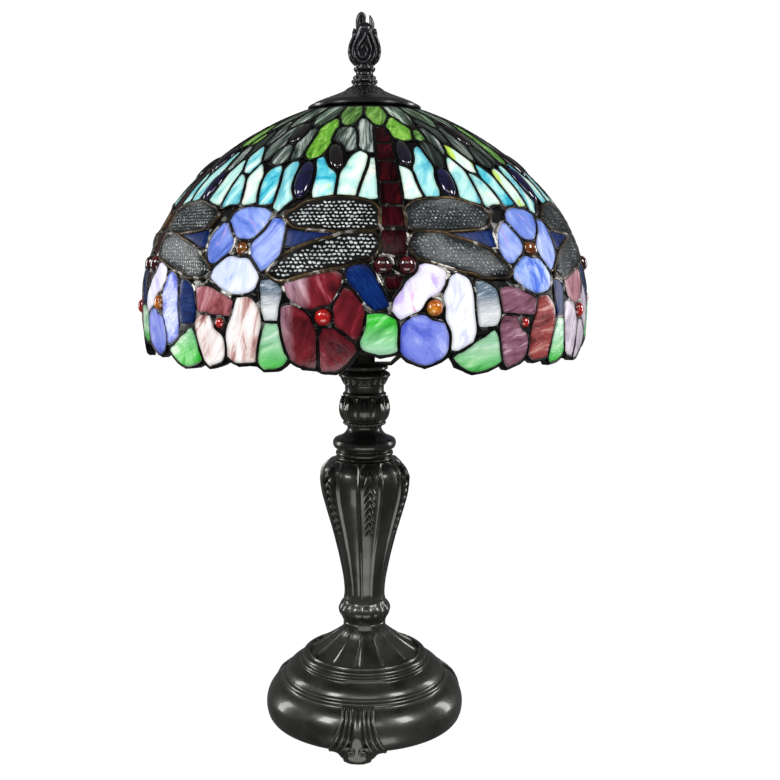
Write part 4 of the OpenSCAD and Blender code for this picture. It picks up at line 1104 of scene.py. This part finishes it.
def lotus():
    """Bud of ten cupped petals with ten more between them, round a plain core."""
    shape = Shape()
    core = spline([(14.2, 239), (14.4, 238), (16.2, 233), (16.6, 229), (15.6, 225), (14.2, 222.5),
                   (14.2, 221)], 0.8)
    lathe(shape, core, [(BORE, 221), (BORE, 239)], plain, 96)
    body = spline([(14.9, 221.6), (16.8, 224), (18.1, 227.5), (18.5, 231), (18.0, 234.6), (17.2, 237.8),
                   (17.4, 239)], 0.8)
    for shift, lift, width, length in ((0.5, -0.9, 5.2, 1.0), (0, 0.1, 5.6, 0.84)):
        for k in range(10):
            middle = (k + shift) * 36
            line = body[:int(len(body) * length)]
            rings = []
            for i, (r, z) in enumerate(line):
                t = i / (len(line) - 1)
                half = width * math.sin(math.pi * (0.16 + 0.84 * t)) ** 0.55 + 0.05
                ring = []
                for u in np.linspace(-1, 1, 9):
                    angle = middle + math.degrees(half * u / r)
                    edge = 0.5 * math.exp(-((abs(u) - 0.9) / 0.15) ** 2)
                    vein = 0.35 * math.exp(-(u / 0.14) ** 2)
                    ring.append(polar(angle, r + lift - 0.9 * u * u + edge + vein, z))
                for u in np.linspace(1, -1, 9):
                    ring.append(polar(middle + math.degrees(half * u / r), r + lift - 2.6, z))
                rings.append(ring)
            shape.rings(rings)
    cast(shape, "lotus_petals", "lotus_bulb", crease=50)


def strand(shape, line, radii, place, sides):
    """Tapering rod along a smooth line; place puts each of its points in space."""
    path = spline(line, 0.8)
    sizes = np.interp(np.linspace(0, 1, len(path)), np.linspace(0, 1, len(radii)), radii)
    tube(shape, [place(x, z) for x, z in path], sizes, sides=sides)


def finial():
    """Beaded collar, and a flame of looped strands on a flattened core with four free tips."""
    collar, flame = Shape(), Shape()
    line = spline([(5.8, 465.2), (5.9, 464.4), (7.2, 463.8), (7.4, 462.6), (6.8, 461.6), (6.0, 460.9),
                   (5.8, 460),
                   (6.1, 459), (7.6, 458), (8.0, 457.2), (7.6, 456.4), (7.7, 455.9), (8.7, 455.4),
                   (8.9, 454.4),
                   (8.6, 453.6), (7.7, 453.1), (7.8, 452.5), (8.6, 452.1), (8.8, 451.6), (8.6, 451)], 0.4)
    socket = [(3.3, 451), (3.3, 463), (0.2, 463.4), (0.2, 465.2)]
    lathe(collar, line, socket, beaded(453.6, 455.8, 12, 0.5, 0.3), 192)
    collar.make("finial_collar_body", paints["polished"], "finial", "bronze", ["finial_collar"], crease=60)
    widths = [(464.4, 3.4), (465.6, 6.6), (467.6, 9.2), (470.5, 10.9), (474.5, 11.3), (479, 10.4),
              (483, 8.8), (486.5, 7.4),
              (489.5, 6.3), (492.0, 4.8), (493.6, 2.2)]
    heights, halves = zip(*widths)
    thickest, squash = 6.2, 0.8
    flame.rings([[(w * 0.93 * math.copysign(abs(x) ** 0.9, x), min(w, thickest) * squash * y, z)
                  for x, y in around(40)] for z, w in spline(widths, 0.8)])
    loops = [
        ([(0.8, 486), (-0.4, 482), (-3.2, 478.4), (-4.6, 474.4), (-3.6, 470.8), (-0.8, 469.6),
          (1.4, 471.8), (1.4, 475.4),
          (-0.6, 477.6), (-2.0, 475.4),
          (-1.6, 473)], [0.5, 0.9, 1.0, 1.0, 1.0, 1.0, 1.0, 0.9, 0.8, 0.7, 0.4]),
        ([(-2.6, 489), (-3.0, 485.5), (-6.2, 480), (-7.4, 474.5), (-6.0, 469.6), (-2.4, 466.8),
          (1.8, 467.4), (4.2, 470.6),
          (4.4, 475), (2.8, 479.6), (1.8, 484)], [0.6, 1.0, 1.1, 1.1, 1.1, 1.1, 1.1, 1.1, 1.1, 1.0, 0.5]),
        ([(-6.9, 488.4), (-6.8, 485), (-9.2, 479.5), (-10.2, 474.5), (-8.9, 469.6), (-5.6, 466)],
         [1.0, 1.2, 1.2, 1.1, 1.1, 0.8]),
        ([(4.6, 490), (3.8, 486), (5.6, 480.6), (7.2, 475.6), (6.8, 470.8), (4.2, 467.2), (1.4, 465.4)],
         [0.8, 1.1, 1.1, 1.1, 1.1, 1.0, 0.7]),
        ([(7.2, 488.4), (7.2, 485), (9.2, 479.8), (10.3, 474.8), (9.2, 469.8), (6.2, 466)],
         [1.0, 1.2, 1.2, 1.1, 1.1, 0.8])]
    tips = [
        ([(-2.8, 484), (-3.7, 489), (-4.1, 493.6), (-3.5, 497.2), (-2.1, 499.1), (-0.7, 498.0), (-0.7, 494.6),
          (-0.2, 490)], [2.6, 2.2, 2.0, 1.9, 1.75, 1.6, 1.6, 2.0]),
        ([(3.2, 484), (4.4, 488.6), (4.9, 492.4), (4.4, 495.6), (3.7, 497.6), (3.4, 498.3)],
         [2.6, 2.4, 2.1, 1.8, 1.3, 0.5]),
        ([(6.4, 481), (7.0, 485), (7.3, 488.2), (7.3, 489.6)], [2.6, 2.0, 1.6, 0.6]),
        ([(-6.2, 481), (-6.7, 485), (-6.9, 488.4), (-6.9, 489.8)], [2.6, 2.0, 1.6, 0.6])]
    for half in (1, -1):
        def on_face(x, z):
            w = max(float(np.interp(z, heights, halves)), 0.5)
            bulge = math.sqrt(max(0.0, 1 - min(1, abs(x) / w / 0.95) ** 2))
            deep = min(w, thickest) * squash * bulge + 0.3
            return half * x, -half * (max(deep, 0.6) + 0.35), z

        for line, radii in loops:
            strand(flame, line, radii, on_face, 10)
    for line, radii in tips:
        strand(flame, line, radii, lambda x, z: (x, 0, z), 12)
    flame.make("flame", paints["polished"], "finial", "bronze", ["finial_flame"], crease=60)


base()
feet()
stem()
laurels()
neck()
lotus()
finial()

# ---------- lights and camera ----------


def softbox(name, place, aim, size, power):
    light = bpy.data.lights.new(name, "AREA")
    light.shape, light.size, light.size_y, light.energy = "RECTANGLE", size[0], size[1], power
    lamp = bpy.data.objects.new(name, light)
    lamp.location = place
    lamp.rotation_euler = (Vector(aim) - Vector(place)).to_track_quat("-Z", "Y").to_euler()
    bpy.context.scene.collection.objects.link(lamp)


softbox("left_softbox", (-1.15, -0.95, 1.35), (0, 0, 0.25), (0.5, 0.7), 19)
softbox("right_softbox", (1.25, -0.9, 1.35), (0, 0, 0.25), (0.5, 0.7), 19)
softbox("front_fill", (0.0, -2.2, 2.0), (0, 0, 0.3), (1.8, 0.8), 13)
softbox("table_glow", (0.0, -1.7, -0.95), (0, 0, 0.15), (2.4, 0.9), 20)
softbox("left_rim", (-1.5, 0.5, 0.5), (0, 0, 0.25), (0.3, 1.0), 9)
softbox("right_rim", (1.5, 0.5, 0.5), (0, 0, 0.25), (0.3, 1.0), 9)

# The world is white to the camera, soft grey to matt surfaces and dark in reflections
world = bpy.data.worlds.new("studio")
bpy.context.scene.world = world
world.use_nodes = True
links = world.node_tree.links
background = world.node_tree.nodes["Background"]
ray = world.node_tree.nodes.new("ShaderNodeLightPath")
MATT_GLOW = 0.24
strength = None
for kind, change in (("Is Camera Ray", 0.8), ("Is Glossy Ray", -0.12)):
    step = world.node_tree.nodes.new("ShaderNodeMath")
    step.operation = "MULTIPLY_ADD"
    links.new(ray.outputs[kind], step.inputs[0])
    step.inputs[1].default_value = change
    if strength is None:
        step.inputs[2].default_value = MATT_GLOW
    else:
        links.new(strength, step.inputs[2])
    strength = step.outputs[0]
links.new(strength, background.inputs["Strength"])
background.inputs["Color"].default_value = (1, 1, 1, 1)
bpy.context.scene.view_settings.view_transform = "Standard"

camera = bpy.data.objects.new("camera", bpy.data.cameras.new("camera"))
bpy.context.scene.collection.objects.link(camera)
camera.location = (0, -0.730, 0.339)
camera.rotation_euler = (math.radians(90 - 7.5), 0, 0)
camera.data.lens, camera.data.sensor_width, camera.data.shift_x = 48, 36, 0.0327
bpy.context.scene.camera = camera
